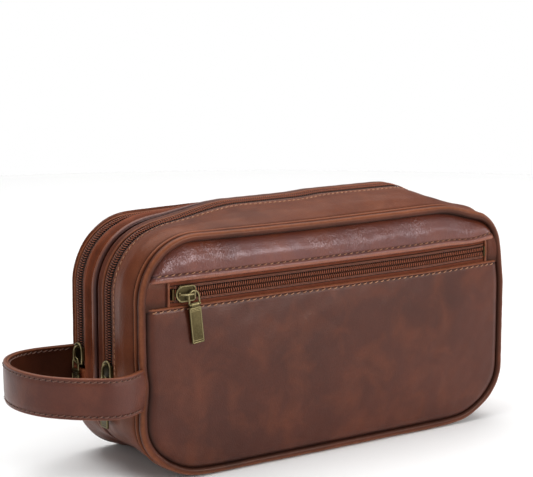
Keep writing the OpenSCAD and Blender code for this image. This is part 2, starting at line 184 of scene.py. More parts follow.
class Outline:
    """A rounded outline in XZ, with one corner radius at the top and one at the base."""

    def __init__(self, half, base, top, top_r, base_r):
        self.half, self.base, self.top = half, base, top
        self.top_r, self.base_r = top_r, base_r
        place, out = [(0, base)], [(0, -1)]
        corners = [(-1, base + base_r, base_r, 270), (-1, top - top_r, top_r, 180),
                   (1, top - top_r, top_r, 90), (1, base + base_r, base_r, 0)]
        for side, z, r, start in corners:
            place += arc(side * (half - r), z, r, start, start - 90, CORNER_POINTS)
            out += arc(0, 0, 1, start, start - 90, CORNER_POINTS)
        place.append((0, base))
        out.append((0, -1))
        self.place, self.out = np.array(place), np.array(out)
        self.run = run_of(self.place)
        self.length = self.run[-1]
        self.corner_u = self.run[CORNER_POINTS]

    def inset(self, i):
        return Outline(self.half - i, self.base + i, self.top - i, self.top_r - i,
                       self.base_r - i)

    def at(self, u):
        """x, z and the outward direction's x and z, at u along the outline."""
        u = np.mod(u, self.length)
        x, z = (np.interp(u, self.run, self.place[:, i]) for i in (0, 1))
        nx, nz = (np.interp(u, self.run, self.out[:, i]) for i in (0, 1))
        size = np.hypot(nx, nz)
        return x, z, nx / size, nz / size

    def left(self, z):
        """u at height z on the straight left side."""
        return self.corner_u + z - self.base - self.base_r

    def right(self, z):
        return self.length - self.left(z)

    def width(self, z):
        """Half the outline's width at height z."""
        z = np.asarray(z, float)
        over = np.clip(z - (self.top - self.top_r), 0, self.top_r)
        under = np.clip(self.base + self.base_r - z, 0, self.base_r)
        return (self.half - self.top_r + np.sqrt(self.top_r**2 - over**2)
                - self.base_r + np.sqrt(self.base_r**2 - under**2))

    def depth(self, x, z):
        """How far inside the outline a point is."""
        mid, half_h = (self.base + self.top) / 2, (self.top - self.base) / 2
        r = np.where(z > mid, self.top_r, self.base_r)
        qx, qz = np.abs(x) - self.half + r, np.abs(z - mid) - half_h + r
        corner = np.hypot(np.maximum(qx, 0), np.maximum(qz, 0))
        return r - corner - np.minimum(np.maximum(qx, qz), 0)


BODY = Outline(HALF_L, 0, TOP, TOP_R, BASE_R)
FRONT_RIM = BODY.inset(PIPING_R + 0.2)
BACK_INSET = HALF_L - high("rear_piping_lower", X) + PIPING_R
BACK_RIM = Outline(HALF_L - BACK_INSET, PIPING_R, TOP - BACK_INSET, TOP_R - BACK_INSET,
                   BASE_R - BACK_INSET)


# ---- The soft set of the bag ----

def settle(p):
    """Moves points of the soft pieces, as a filled leather bag sets with use.

    The top rises to a ridge along the front zip and sags in front of it, the top's right end
    slumps, and the base's corners are drawn up between the two pipings.
    """
    p = np.array(p, float)
    x, y, z = p[..., 0], p[..., 1], p[..., 2]
    upper = step(100, 130, z)
    reach = np.cos(np.clip(x / HALF_L, -1, 1) * math.pi / 2)
    ridge = (8.0 + step(-5, 14, x)) * step(-104, -45, x) * (1 - step(62, 92, x))
    ridge = ridge * step(-38, -4, y) * (1 - 0.85 * step(-2, 22, y))
    sag = reach * (2.0 - 2.0 * step(-36, -14, y))
    slump = 4.4 * bump(100, 14, x)
    corner = bump(110, 17, np.abs(x)) * (1 - step(14, 46, z)) * (0.42 + 0.58 * step(-38, -14, y))
    corner = corner * (1 - 0.75 * step(16, 38, y))
    pinch = 1.5 * bump(STRAP_Z, 9, z) * bump(FRONT_BAND - 2, 7, y) * step(105, 122, -x)
    narrow = 2.4 * step(80, 104, z) * step(100, 124, x)
    taper = 2.8 * step(28, 38, y) * step(96, 122, np.abs(x))
    smile = 1.2 * step(55, 118, x) * step(80, 100, z) * (1 - step(112, 126, z))
    moved = p.copy()
    moved[..., 0] += pinch - narrow - np.sign(x) * (1.6 * corner + taper)
    moved[..., 1] += upper * (0.3 * np.sin(x / 27 + 0.8) + 0.2 * np.sin(x / 13))
    moved[..., 2] += upper * (ridge - sag - slump) + 6.3 * corner
    moved[..., 2] += smile * (1 - step(-38, -30, y))
    return moved


def rear_round(y):
    """How far the rear band turns in towards the back panel's smaller outline, at y."""
    return 3.6 * np.clip((np.asarray(y, float) - 30.5) / 6, 0, 1) ** 1.5


# ---- Meshes ----

def quads(index, wrap_rows=False, wrap_columns=False):
    rows = np.vstack([index, index[:1]]) if wrap_rows else index
    rows = np.hstack([rows, rows[:, :1]]) if wrap_columns else rows
    corners = [rows[:-1, :-1], rows[:-1, 1:], rows[1:, 1:], rows[1:, :-1]]
    return np.stack(corners, -1).reshape(-1, 4).tolist()


def rings(grid, closed=False):
    """A solid through rings of points, with flat ends unless it closes on itself."""
    index = np.arange(grid.shape[0] * grid.shape[1]).reshape(grid.shape[:2])
    faces = quads(index, closed, True)
    if not closed:
        faces += [index[0][::-1].tolist(), index[-1].tolist()]
    return grid.reshape(-1, 3), faces


def shell(outer, inner):
    """A closed sheet between two grids of points."""
    rows, columns = outer.shape[:2]
    a = np.arange(rows * columns).reshape(rows, columns)
    b = a + rows * columns
    edge = np.concatenate([a[0], a[1:, -1], a[-1, -2::-1], a[-2:0:-1, 0]])
    wall = np.stack([edge, edge + rows * columns])
    faces = quads(a) + quads(b[:, ::-1]) + quads(wall, False, True)
    return np.concatenate([outer.reshape(-1, 3), inner.reshape(-1, 3)]), faces


def join(parts):
    """Several solids as one mesh."""
    verts, faces, start = [], [], 0
    for v, f in parts:
        verts.append(np.asarray(v, float).reshape(-1, 3))
        faces += [[i + start for i in face] for face in f]
        start += len(verts[-1])
    return np.concatenate(verts), faces


def make(name, solid, finish, moves, stands_for=(), slot=None, soft=True, sharp=40, **fields):
    """Makes one piece: its mesh in metres, its material, and the body that it moves with when moves
    names one body; a piece given a fold is attached to no body.

    fields are named values for its points. A short one is repeated until all points have one.
    """
    verts, faces = solid
    verts = settle(verts) if soft else np.asarray(verts, float)
    mesh = bpy.data.meshes.new(name)
    mesh.from_pydata((verts * MM).tolist(), [], faces)
    for key, values in fields.items():
        values = np.ravel(values)
        mesh.attributes.new(key, "FLOAT", "POINT").data.foreach_set(
            "value", np.tile(values, len(verts) // len(values)).astype(np.float32))
    work = bmesh.new()
    work.from_mesh(mesh)
    bmesh.ops.recalc_face_normals(work, faces=work.faces)
    work.to_mesh(mesh)
    work.free()
    mesh.shade_smooth()
    mesh.set_sharp_from_angle(angle=math.radians(sharp))
    mesh.materials.append(finish)
    piece = bpy.data.objects.new(name, mesh)
    bpy.context.scene.collection.objects.link(piece)
    if isinstance(moves, str):
        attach(piece, moves)
    else:
        a, b, start, end = moves
        [v * MM for v in start]
        [v * MM for v in end]
        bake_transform(piece)
    if stands_for:
        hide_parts(*stands_for)
    return piece


def on_outline(outline, points):
    """(u, y, w) points as places in space."""
    x, z, nx, nz = outline.at(points[..., 0])
    w = points[..., 2]
    return stack(x + nx * w, points[..., 1], z + nz * w)


def on_pocket(points):
    """(x, height over the pocket zip, outwards) points as places in space."""
    return stack(points[..., 0], FRONT_Y - points[..., 2], POCKET_Z + points[..., 1])


def ring_round(side, up, sides, flat=1.0):
    """Circles of that many points, one for each pair of directions."""
    a = np.linspace(0, 2 * math.pi, sides, endpoint=False)[None, :, None]
    return np.cos(a) * side[:, None] + flat * np.sin(a) * up[:, None]


def tube(points, radius, sides=8, closed=False, flat=1.0):
    """A round bar along points, squeezed to flat times its width across Z."""
    p = np.asarray(points, float)
    if closed:
        t = np.roll(p, -1, 0) - np.roll(p, 1, 0)
    else:
        t = np.gradient(p, axis=0)
    t = unit(t)
    upright = np.any(np.abs(t[:, 2]) > 0.9)
    side = unit(np.cross(t, [1.0, 0, 0] if upright else [0, 0, 1.0]))
    return rings(p[:, None] + radius * ring_round(side, np.cross(side, t), sides, flat), closed)


def rounded(width, height, r, corner=4):
    """A rounded rectangle about the origin."""
    points = []
    for sx, sy, start in [(1, 1, 0), (-1, 1, 90), (-1, -1, 180), (1, -1, 270)]:
        points += arc(sx * (width / 2 - r), sy * (height / 2 - r), r, start, start + 90, corner)
    return points


def plate(points, z0, z1, bevel):
    """A flat plate of that outline, with its rims bevelled."""
    part = bmesh.new()
    face = part.faces.new([part.verts.new((x, y, z0)) for x, y in points])
    grown = bmesh.ops.extrude_face_region(part, geom=[face])
    top = [v for v in grown["geom"] if isinstance(v, bmesh.types.BMVert)]
    bmesh.ops.translate(part, verts=top, vec=(0, 0, z1 - z0))
    rims = [e for e in part.edges if abs(e.verts[0].co.z - e.verts[1].co.z) < 1e-6]
    bmesh.ops.bevel(part, geom=rims, offset=bevel, segments=3, profile=0.5, affect="EDGES")
    verts = [tuple(v.co) for v in part.verts]
    part.verts.index_update()
    faces = [[v.index for v in f.verts] for f in part.faces]
    part.free()
    return np.array(verts), faces


def placed(solid, matrix):
    verts, faces = solid
    m = np.array(matrix)
    return verts @ m[:3, :3].T + m[:3, 3], faces


def stitches(places, along, out):
    """Slanted thread stitches, one at each place, that dip into the leather at both ends."""
    slant, length, radius = 0.16, 2.9, 0.32
    a = np.linspace(-1, 1, 7)[:, None]
    ring = np.linspace(0, 2 * math.pi, 6, endpoint=False)
    girth = radius * np.sqrt(np.clip(1 - (0.9 * a) ** 2, 0, 1))
    stitch, template = rings(stack(a * length / 2, girth * np.cos(ring) + a * length * slant,
                                   girth * np.sin(ring) + (0.42 - 0.62 * a**2)))
    across = np.cross(out, along)
    verts = (places[:, None] + stitch[None, :, :1] * along[:, None]
             + stitch[None, :, 1:2] * across[:, None] + stitch[None, :, 2:] * out[:, None])
    first = len(stitch) * np.arange(len(places))[:, None, None]
    walls = (np.array(template[:-2])[None] + first).reshape(-1, 4)
    ends = (np.array(template[-2:])[None] + first).reshape(-1, 6)
    return verts.reshape(-1, 3), walls.tolist() + ends.tolist()


def holes(places, out):
    """Small dark discs as the painted shade of needle holes, lying in the leather's face."""
    a = unit(np.cross(out, [[0.3, 0.5, 0.8]]))
    circles = 0.36 * ring_round(a, np.cross(out, a), 7)
    return join([rings(np.stack([place + ring - 0.5 * normal, place + ring + 0.07 * normal]))
                 for place, normal, ring in zip(places, out, circles)])


# ---- Materials ----

class Paint:
    """A node material: one Principled shader, and short calls for the nodes that feed it."""

    def __init__(self, name, **constants):
        self.material = bpy.data.materials.new(name)
        self.material.use_nodes = True
        self.tree = self.material.node_tree
        self.shader = self.tree.nodes["Principled BSDF"]
        for key, value in constants.items():
            self.shader.inputs[key.replace("_", " ")].default_value = value
        self.place = self.add("ShaderNodeTexCoord").outputs["Object"]

    def add(self, kind, inputs=None, **settings):
        node = self.tree.nodes.new(kind)
        for key, value in settings.items():
            setattr(node, key, value)
        for key, value in (inputs or {}).items():
            if isinstance(value, bpy.types.NodeSocket):
                self.tree.links.new(value, node.inputs[key])
            else:
                node.inputs[key].default_value = value
        return node

    def math(self, operation, a, b=0.0, c=0.0):
        return self.add("ShaderNodeMath", {0: a, 1: b, 2: c}, operation=operation).outputs[0]

    def times(self, a, b):
        return self.math("MULTIPLY", a, b)

    def wave(self, value, length):
        """A sine wave of that length along a value."""
        return self.math("SINE", self.times(value, 2 * math.pi / length))

    def above(self, value):
        """What a value has above 0."""
        return self.math("MAXIMUM", value, 0.0)

    def stretch(self, x, y, z):
        node = self.add("ShaderNodeVectorMath", {0: self.place, 1: (x, y, z)},
                        operation="MULTIPLY")
        return node.outputs[0]

    def noise(self, scale, detail=3.0, roughness=0.55, distortion=0.0, place=None):
        node = self.add("ShaderNodeTexNoise", {
            "Vector": place or self.place, "Scale": scale, "Detail": detail,
            "Roughness": roughness, "Distortion": distortion})
        return node.outputs[0]

    def cells(self, scale):
        node = self.add("ShaderNodeTexVoronoi", {"Vector": self.place, "Scale": scale})
        return node.outputs["Distance"]

    def field(self, name):
        return self.add("ShaderNodeAttribute", attribute_name=name).outputs["Fac"]

    def span(self, value, low, high, to_low=0.0, to_high=1.0):
        node = self.add("ShaderNodeMapRange", {
            "Value": value, "From Min": low, "From Max": high, "To Min": to_low,
            "To Max": to_high}, clamp=True)
        return node.outputs[0]

    def mix(self, factor, a, b, blend="MIX"):
        node = self.add("ShaderNodeMix", data_type="RGBA", blend_type=blend)
        for index, value in ((0, factor), (6, a), (7, b)):
            if isinstance(value, bpy.types.NodeSocket):
                self.tree.links.new(value, node.inputs[index])
            else:
                node.inputs[index].default_value = value
        return node.outputs[2]

    def finish(self, colour, roughness=None, height=None, distance=0.0, strength=1.0):
        self.tree.links.new(colour, self.shader.inputs["Base Color"])
        if roughness is not None:
            self.tree.links.new(roughness, self.shader.inputs["Roughness"])
        if height is not None:
            node = self.add("ShaderNodeBump", {"Height": height, "Distance": distance,
                                               "Strength": strength})
            self.tree.links.new(node.outputs[0], self.shader.inputs["Normal"])
        return self.material


def rgb(red, green, blue):
    """A linear colour from the usual 0 to 255 numbers."""
    return tuple(((v / 255 + 0.055) / 1.055) ** 2.4 if v > 10 else v / 255 / 12.92
                 for v in (red, green, blue)) + (1.0,)


def leather(name, dark, mid, warm, gloss=0.4, grain=1.0, wrinkle=0.0, shine=0.2,
            tint=(1.0, 0.72, 0.56, 1.0)):
    """Waxed leather: soft clouds of colour, rubbed edges with a painted highlight, creases in
    painted shade, grain and wrinkles.

    The vertex field that it reads is above 0 on rubbed edges, lightened partly as wear and partly
    as a painted highlight, and below 0 in its creases, darkened there as painted shade.
    """
    paint = Paint(name, Coat_Weight=0.03, Coat_Roughness=0.3, Specular_IOR_Level=shine,
                  Specular_Tint=tint)
    cloud = paint.noise(17, 2, 0.5, 0.3)
    marble = paint.noise(48, 3, 0.55, 0.5)
    mottle = paint.noise(190, 3, 0.6)
    pores = paint.cells(1250)
    fine = paint.noise(2600, 3, 0.6)
    colour = paint.mix(paint.span(cloud, 0.34, 0.66), dark, mid)
    colour = paint.mix(paint.times(paint.span(marble, 0.45, 0.78), 0.6), colour, warm)
    speck = paint.times(paint.span(pores, 0.1, 0.75, 0.92, 1.05),
                        paint.span(mottle, 0.3, 0.7, 0.93, 1.06))
    colour = paint.mix(1.0, colour, paint.add("ShaderNodeCombineColor", {
        0: speck, 1: speck, 2: speck}).outputs[0], "MULTIPLY")
    wear = paint.field("wear")
    # Rubbed edges: lighter partly from wear and partly as a painted highlight.
    rubbed_and_highlight = paint.times(paint.above(wear),
                         paint.span(paint.noise(420, 3, 0.6), 0.25, 0.75, 0.45, 1.0))
    # Painted shade: creases, seams and tucked rims darkened towards a near-black brown.
    painted_shade = paint.math("MINIMUM", paint.above(paint.times(wear, -1.0)), 0.92)
    colour = paint.mix(rubbed_and_highlight, colour, RUBBED_AND_HIGHLIGHT)
    colour = paint.mix(painted_shade, colour, SHADE_COLOUR)
    height = paint.times(pores, 0.3 * grain)
    height = paint.math("MULTIPLY_ADD", fine, 0.25 * grain, height)
    if wrinkle:
        long = paint.noise(640, 2, 0.5, 1.2, paint.stretch(1.0, 1.0, 0.45))
        where = paint.span(paint.noise(36, 2, 0.5), 0.38, 0.62, 0.2, 1.0)
        crease = paint.times(paint.span(long, 0.32, 0.68), where)
        height = paint.math("MULTIPLY_ADD", crease, wrinkle, height)
    rough = paint.span(marble, 0.3, 0.7, gloss + 0.05, gloss - 0.04)
    rough = paint.math("MULTIPLY_ADD", painted_shade, 0.3, rough)
    return paint.finish(colour, rough, height, 0.00024, 0.6)


def woven_tape():
    """Zip tape: a herringbone twill that follows the fields along and across."""
    paint = Paint("zip_tape", Specular_IOR_Level=0.15)
    along, across = paint.field("along"), paint.field("across")
    fold = paint.math("PINGPONG", across, 1.1)
    twill = paint.wave(paint.math("ADD", along, fold), 0.9)
    threads = paint.wave(across, 0.42)
    weave = paint.math("MULTIPLY_ADD", threads, 0.35, twill)
    uneven = paint.noise(300, 3, 0.6)
    colour = paint.mix(paint.span(weave, -1.2, 1.2), rgb(70, 30, 17), rgb(122, 62, 37))
    colour = paint.mix(paint.span(uneven, 0.3, 0.7, 0.0, 0.35), colour, rgb(84, 38, 22))
    ribs = paint.wave(along, COIL_PITCH / 2)
    ribbed = paint.mix(paint.span(ribs, -0.5, 0.5), rgb(40, 17, 10), rgb(158, 90, 60))
    colour = paint.mix(paint.span(across, 4.35, 4.45, 1.0, 0.0), colour, ribbed)
    # Painted shade: a dark line beside the coil, another along the ribbed band's outer edge, and the
    # tape under the coil darkened as in its shadow.
    for line in (2.85, 4.5):
        gap = paint.math("ABSOLUTE", paint.math("SUBTRACT", across, line))
        colour = paint.mix(paint.span(gap, 0.2, 0.4, 0.92, 0.0), colour, rgb(24, 10, 6))
    colour = paint.mix(paint.span(across, 2.6, 2.9, 1.0, 0.0), colour, rgb(20, 8, 5))
    return paint.finish(colour, paint.span(uneven, 0.3, 0.7, 0.62, 0.8), weave, 0.00012, 0.6)


def nylon_coil():
    paint = Paint("zip_coil", Specular_IOR_Level=0.25)
    heads = paint.field("head")
    # The coil's field is painted shade: dark at its turns' ends, on their undersides and where they
    # dip low.
    colour = paint.mix(heads, rgb(156, 86, 58), rgb(16, 7, 4))
    dirt = paint.span(paint.noise(900, 2, 0.5), 0.35, 0.7, 0.0, 0.25)
    colour = paint.mix(dirt, colour, rgb(50, 24, 16))
    return paint.finish(colour, paint.span(paint.noise(700), 0.3, 0.7, 0.3, 0.45))


def aged_brass(name, dark, mid, bright):
    """Antique brass: olive-brown patina, fine scratches, and rims rubbed bright.

    The vertex field that it reads is above 0 on rubbed rims and below 0 in recesses.
    """
    paint = Paint(name, Metallic=1.0)
    patina = paint.noise(210, 4, 0.6, 0.4)
    fine = paint.noise(1500, 4, 0.65)
    scratch = paint.noise(900, 3, 0.7, 0.3, paint.stretch(5.0, 1.0, 0.6))
    wear = paint.field("wear")
    colour = paint.mix(paint.span(patina, 0.25, 0.75, 0.2, 0.8), dark, mid)
    colour = paint.mix(paint.span(fine, 0.45, 0.75, 0.0, 0.14), colour, bright)
    colour = paint.mix(paint.above(wear), colour, bright)
    colour = paint.mix(paint.above(paint.times(wear, -1.0)), colour, rgb(34, 28, 16))
    height = paint.math("MULTIPLY_ADD", scratch, 0.5, fine)
    rough = paint.span(patina, 0.3, 0.7, 0.4, 0.34)
    return paint.finish(colour, rough, height, 0.00003, 0.4)


def thread(name, dark, light):
    paint = Paint(name, Sheen_Weight=0.15)
    twist = paint.noise(1400, 2, 0.5)
    colour = paint.mix(paint.span(twist, 0.3, 0.7), dark, light)
    return paint.finish(colour, paint.span(twist, 0.3, 0.7, 0.5, 0.7), twist, 0.0001, 0.6)


def cloth(name, dark, light, pitch):
    """Plain woven lining cloth with that thread pitch in mm."""
    paint = Paint(name, Sheen_Weight=0.2)
    split = paint.add("ShaderNodeSeparateXYZ", {0: paint.place})
    across = paint.wave(paint.math("ADD", split.outputs[0], split.outputs[1]), pitch * MM)
    weave = paint.times(across, paint.wave(split.outputs[2], pitch * MM))
    worn = paint.noise(60, 3, 0.6)
    colour = paint.mix(paint.span(weave, -1, 1), dark, light)
    colour = paint.mix(paint.span(worn, 0.35, 0.7, 0.0, 0.3), colour, dark)
    return paint.finish(colour, paint.span(worn, 0.3, 0.7, 0.7, 0.85), weave, 0.0001, 0.5)


def foam_finish():
    paint = Paint("foam")
    cells = paint.cells(900)
    colour = paint.mix(paint.span(cells, 0.1, 0.6), rgb(150, 140, 118), rgb(222, 214, 192))
    return paint.finish(colour, paint.span(cells, 0, 1, 0.8, 0.95), cells, 0.0003, 0.8)


# Colours of rubbed edges, partly wear and partly painted highlight, and of painted shade.
RUBBED_AND_HIGHLIGHT, SHADE_COLOUR = rgb(150, 90, 60), rgb(26, 12, 8)
MAIN = leather("leather_main", rgb(58, 24, 14), rgb(71, 32, 20), rgb(95, 47, 26), gloss=0.36,
               shine=0.26, tint=(1.0, 0.82, 0.76, 1.0))
UPPER = leather("leather_upper", rgb(74, 32, 20), rgb(90, 42, 27), rgb(110, 58, 35), gloss=0.31,
                wrinkle=1.2, shine=0.48, tint=(1.0, 0.88, 0.95, 1.0))
BAND = leather("leather_band", rgb(72, 32, 18), rgb(92, 44, 25), rgb(116, 62, 36), gloss=0.4,
               wrinkle=0.5)
INNER = leather("leather_inner_band", rgb(60, 25, 16), rgb(76, 34, 22), rgb(94, 46, 29),
                gloss=0.4, wrinkle=0.3)
RUST = leather("leather_light", rgb(88, 40, 22), rgb(110, 53, 31), rgb(134, 71, 45), gloss=0.5,
               grain=1.8, shine=0.1)
EDGING = leather("leather_piping", rgb(56, 25, 16), rgb(74, 34, 22), rgb(92, 46, 29),
                 gloss=0.34)
DARK = leather("leather_dark", rgb(62, 31, 24), rgb(78, 42, 33), rgb(94, 54, 43), gloss=0.32,
               shine=0.4, tint=(1.0, 0.85, 0.85, 1.0))
STRAPPING = leather("leather_strap", rgb(66, 28, 17), rgb(84, 40, 26), rgb(104, 55, 35),
                    gloss=0.36, wrinkle=0.4, shine=0.34, tint=(1.0, 0.84, 0.82, 1.0))
# The strap's leather made darker as painted shade, for its inner face.
STRAP_INSIDE_SHADED = leather("leather_strap_inside_shaded", rgb(46, 20, 12), rgb(60, 28, 17),
                       rgb(74, 38, 23), gloss=0.46, shine=0.1)
TAPE, COIL = woven_tape(), nylon_coil()
BRASS = aged_brass("brass", rgb(64, 56, 36), rgb(88, 78, 52), rgb(160, 147, 108))
STOPS = aged_brass("brass_dark", rgb(44, 34, 22), rgb(72, 58, 36), rgb(98, 84, 52))
THREAD = thread("thread", rgb(112, 69, 44), rgb(174, 124, 88))
STRAP_THREAD = thread("thread_strap", rgb(70, 38, 24), rgb(112, 68, 46))
COIL_THREAD = thread("thread_coil", rgb(66, 32, 20), rgb(122, 68, 44))
LINING = cloth("lining", rgb(38, 33, 31), rgb(62, 55, 51), 0.9)
FOAM = foam_finish()


# Painted shade of needle holes: near-black browns, varied by noise.
def hole_shade_finish():
    paint = Paint("needle_hole_shade")
    hole_shade_noise = paint.noise(800)
    colour = paint.mix(paint.span(hole_shade_noise, 0.3, 0.7), rgb(30, 15, 10), rgb(52, 28, 20))
    return paint.finish(colour, paint.span(hole_shade_noise, 0.3, 0.7, 0.8, 0.95))


HOLE_SHADE = hole_shade_finish()


# ---- Panels: front, pocket and back ----

def edge_rows(z_edge, way):
    """Heights and drops of the rows that turn a leather edge under, at height z_edge."""
    r = EDGE_R
    a = np.linspace(0, math.pi / 2, 5)[1:]
    return z_edge - way * r * (1 - np.sin(a)), r * (1 - np.cos(a)) * 1.6


def spread(n, power=1.6):
    """n places from -1 to 1, closer together towards both ends."""
    t = np.linspace(-1, 1, n)
    return np.sign(t) * (1 - (1 - np.abs(t)) ** power)


def tuck(depth):
    """How far a panel's rim turns down to the piping, depth mm inside its edge."""
    reach, drop = 5.5, 3.4
    t = np.clip(1 - depth / reach, 0, 1)
    return drop * (1 - np.sqrt(1 - t**2 * 0.998))


def panel_grid(rim, zs, columns):
    """x and z of a grid that fills an outline between the heights zs."""
    zs = np.asarray(zs)
    x = spread(columns)[None] * rim.width(zs)[:, None]
    return x, np.broadcast_to(zs[:, None], x.shape)


def panel_solid(x, z, y, thick):
    return shell(stack(x, y, z), stack(x, y + thick, z))


def swollen(outline, z_top):
    """How far a panel stands out at (x, z), from 0 at its seams to 1 at its fullest.

    A cloth simulation of the panel, pinned all round and blown up by its filling, gives the
    shape.
    """
    rows, columns = 30, 54
    zs = outline.base + (z_top - outline.base) * (spread(rows, 1.2) + 1) / 2
    zs[-1] -= 0.01
    x, z = panel_grid(outline, zs, columns)
    index = np.arange(rows * columns).reshape(rows, columns)
    mesh = bpy.data.meshes.new("panel_cloth")
    mesh.from_pydata((stack(x, 0, z).reshape(-1, 3) * MM).tolist(), [], quads(index))
    piece = bpy.data.objects.new("panel_cloth", mesh)
    bpy.context.scene.collection.objects.link(piece)
    rim = np.concatenate([index[0], index[-1], index[1:-1, 0], index[1:-1, -1]])
    piece.vertex_groups.new(name="seam").add(rim.tolist(), 1.0, "REPLACE")
    cloth_modifier = piece.modifiers.new("cloth", "CLOTH")
    settings = cloth_modifier.settings
    settings.vertex_group_mass = "seam"
    settings.quality = 6
    settings.mass = 0.4
    settings.tension_stiffness = settings.compression_stiffness = 40
    settings.bending_stiffness = 8
    settings.use_pressure = True
    settings.uniform_pressure_force = 6
    settings.effector_weights.gravity = 0
    cloth_modifier.point_cache.frame_end = 20
    for moment in range(1, 21):
        bpy.context.scene.frame_set(moment)
    shaped = piece.evaluated_get(bpy.context.evaluated_depsgraph_get())
    out = np.empty(3 * rows * columns, np.float32)
    shaped.data.vertices.foreach_get("co", out)
    out = np.abs(out.reshape(rows, columns, 3)[..., 1])
    out = out / max(out.max(), 1e-9)
    bpy.context.scene.frame_set(1)
    bpy.data.objects.remove(piece)
    bpy.data.meshes.remove(mesh)

    def simulated(x, z):
        row = np.interp(z, zs, np.arange(rows))
        column = np.interp(x / outline.width(np.clip(z, zs[0], zs[-1])), spread(columns),
                           np.arange(columns))
        r = np.minimum(row.astype(int), rows - 2)
        c = np.minimum(column.astype(int), columns - 2)
        a, b = row - r, column - c
        return ((out[r, c] * (1 - b) + out[r, c + 1] * b) * (1 - a)
                + (out[r + 1, c] * (1 - b) + out[r + 1, c + 1] * b) * a)
    return simulated


def stitch_row(x, y, z, height, zs):
    """The points of a panel's face on its row nearest to that height, clear of its ends."""
    row = int(np.argmin(np.abs(np.asarray(zs) - height)))
    keep = np.abs(x[row]) < np.abs(x[row]).max() - 2.5
    return stack(x[row], y[row], z[row])[keep]


def pocket_panel():
    rim = FRONT_RIM.inset(PIPING_R - 0.5)
    rolled_z, rolled_drop = edge_rows(POCKET_LOW, 1)
    main_z = rim.base + (POCKET_LOW - EDGE_R - rim.base) * (spread(78, 1.5) + 1) / 2
    zs = np.concatenate([main_z, rolled_z])
    drop = np.concatenate([np.zeros(78), rolled_drop])
    x, z = panel_grid(rim, zs, 150)
    lip = 0.3 * bump(POCKET_LOW - 0.5, 0.7, z) - 0.3 * bump(POCKET_LOW - 1.6, 0.55, z)
    depth = rim.depth(x, np.minimum(z, 80))
    bulge = 3.9 * swollen(rim, POCKET_LOW + 2)(x, z)
    bulge = bulge + 0.4 * ripple(x, z, 60, 3) * step(4, 34, depth)
    y = FRONT_Y - bulge - lip + tuck(depth) + drop[:, None] + 0.09 * ripple(x, z, 12, 5)
    # Lightens the rolled top edge as a painted highlight, and darkens the stitch groove below it and
    # the rim where the panel tucks down to the piping as painted shade.
    wear = 0.8 * bump(POCKET_LOW - 0.2, 0.6, z) - 0.35 * bump(POCKET_LOW - 1.7, 0.6, z)
    wear = wear - 0.85 * (1 - step(0.3, 3.2, depth))
    solid = panel_solid(x, z, y, LEATHER_T - 0.2)
    make("pocket_panel", solid, MAIN, FRONT_FOLD, ["pocket_panel_lower", "pocket_panel_upper"],
         "leather", wear=wear)
    return stitch_row(x, y, z, POCKET_LOW - 1.6, main_z)


def front_upper_panel():
    rim = FRONT_RIM.inset(PIPING_R - 0.5)
    rolled_z, rolled_drop = edge_rows(POCKET_HIGH, -1)
    main_z = POCKET_HIGH + EDGE_R + (rim.top - POCKET_HIGH - EDGE_R) * (spread(52, 1.9) + 1) / 2
    zs = np.concatenate([rolled_z[::-1], main_z])
    drop = np.concatenate([rolled_drop[::-1], np.zeros(52)])
    x, z = panel_grid(rim, zs, 170)
    fold_top = POCKET_HIGH + 4.2
    roll = 0.75 * np.sin(np.clip((z - POCKET_HIGH) / 4.2, 0, 1) * math.pi) ** 0.8
    groove = 0.5 * bump(fold_top, 0.6, z)
    depth = rim.depth(x, np.maximum(z, 80))
    body = step(0, 12, depth)
    crown = 1.3 * np.sin(np.clip((z - fold_top) / (rim.top - fold_top), 0, 1) * math.pi) * body
    pucker = 0.22 * ripple(x * 1.9, z, 17, 11) * step(fold_top, fold_top + 5, z) * body
    lean = 3.6 * np.clip((z - fold_top) / (rim.top - fold_top), 0, 1)
    y = FRONT_Y - roll + groove - crown - pucker + lean + tuck(depth) + drop[:, None]
    # Lightens the rolled edge above the zip as a painted highlight, and darkens the groove at the
    # fold, the part turned under below the edge and the rim by the piping as painted shade.
    wear = 0.7 * bump(POCKET_HIGH + 1.4, 1.1, z) - 0.5 * bump(fold_top - 0.1, 0.5, z)
    wear = wear - 0.9 * (1 - step(-0.8, 0.5, z - POCKET_HIGH)) - 0.7 * (1 - step(0.3, 2.2, depth))
    solid = panel_solid(x, z, y, LEATHER_T - 0.2)
    make("front_panel_upper_leather", solid, UPPER, "front_flap", ["front_panel_upper"],
         "leather", wear=wear)
    return stitch_row(x, y, z, fold_top - 0.1, zs)


def back_panel():
    rim = BACK_RIM.inset(PIPING_R - 0.5)
    zs = rim.base + (rim.top - rim.base) * (spread(110, 1.5) + 1) / 2
    x, z = panel_grid(rim, zs, 150)
    depth = rim.depth(x, z)
    crown = 4.0 * swollen(rim, rim.top)(x, z)
    y = BACK_Y + crown + 0.5 * ripple(x, z, 55, 21) * step(4, 30, depth) - tuck(depth)
    y = y + 0.1 * ripple(x, z, 12, 23)
    # Darkens the rim where the panel tucks down to the piping, as painted shade.
    wear = -0.85 * (1 - step(0.3, 3.2, depth))
    solid = panel_solid(x, z, y, -(LEATHER_T - 0.2))
    make("back_panel", solid, MAIN, REAR_FOLD, ["rear_panel_lower", "rear_panel_upper"],
         "leather", wear=wear)


def inner_sheet(name, outline, z_top, y, thick, finish, moves, stands_for, slot, wave):
    """A flat sheet inside the bag, as wide as an outline, with a slight wave."""
    zs = outline.base + (z_top - outline.base) * (spread(60, 1.4) + 1) / 2
    x, z = panel_grid(outline, zs, 70)
    face = y + wave * ripple(x, z, 70, 31) * step(0, 15, outline.depth(x, np.minimum(z, 90)))
    return make(name, panel_solid(x, z, face, thick), finish, moves, stands_for, slot)


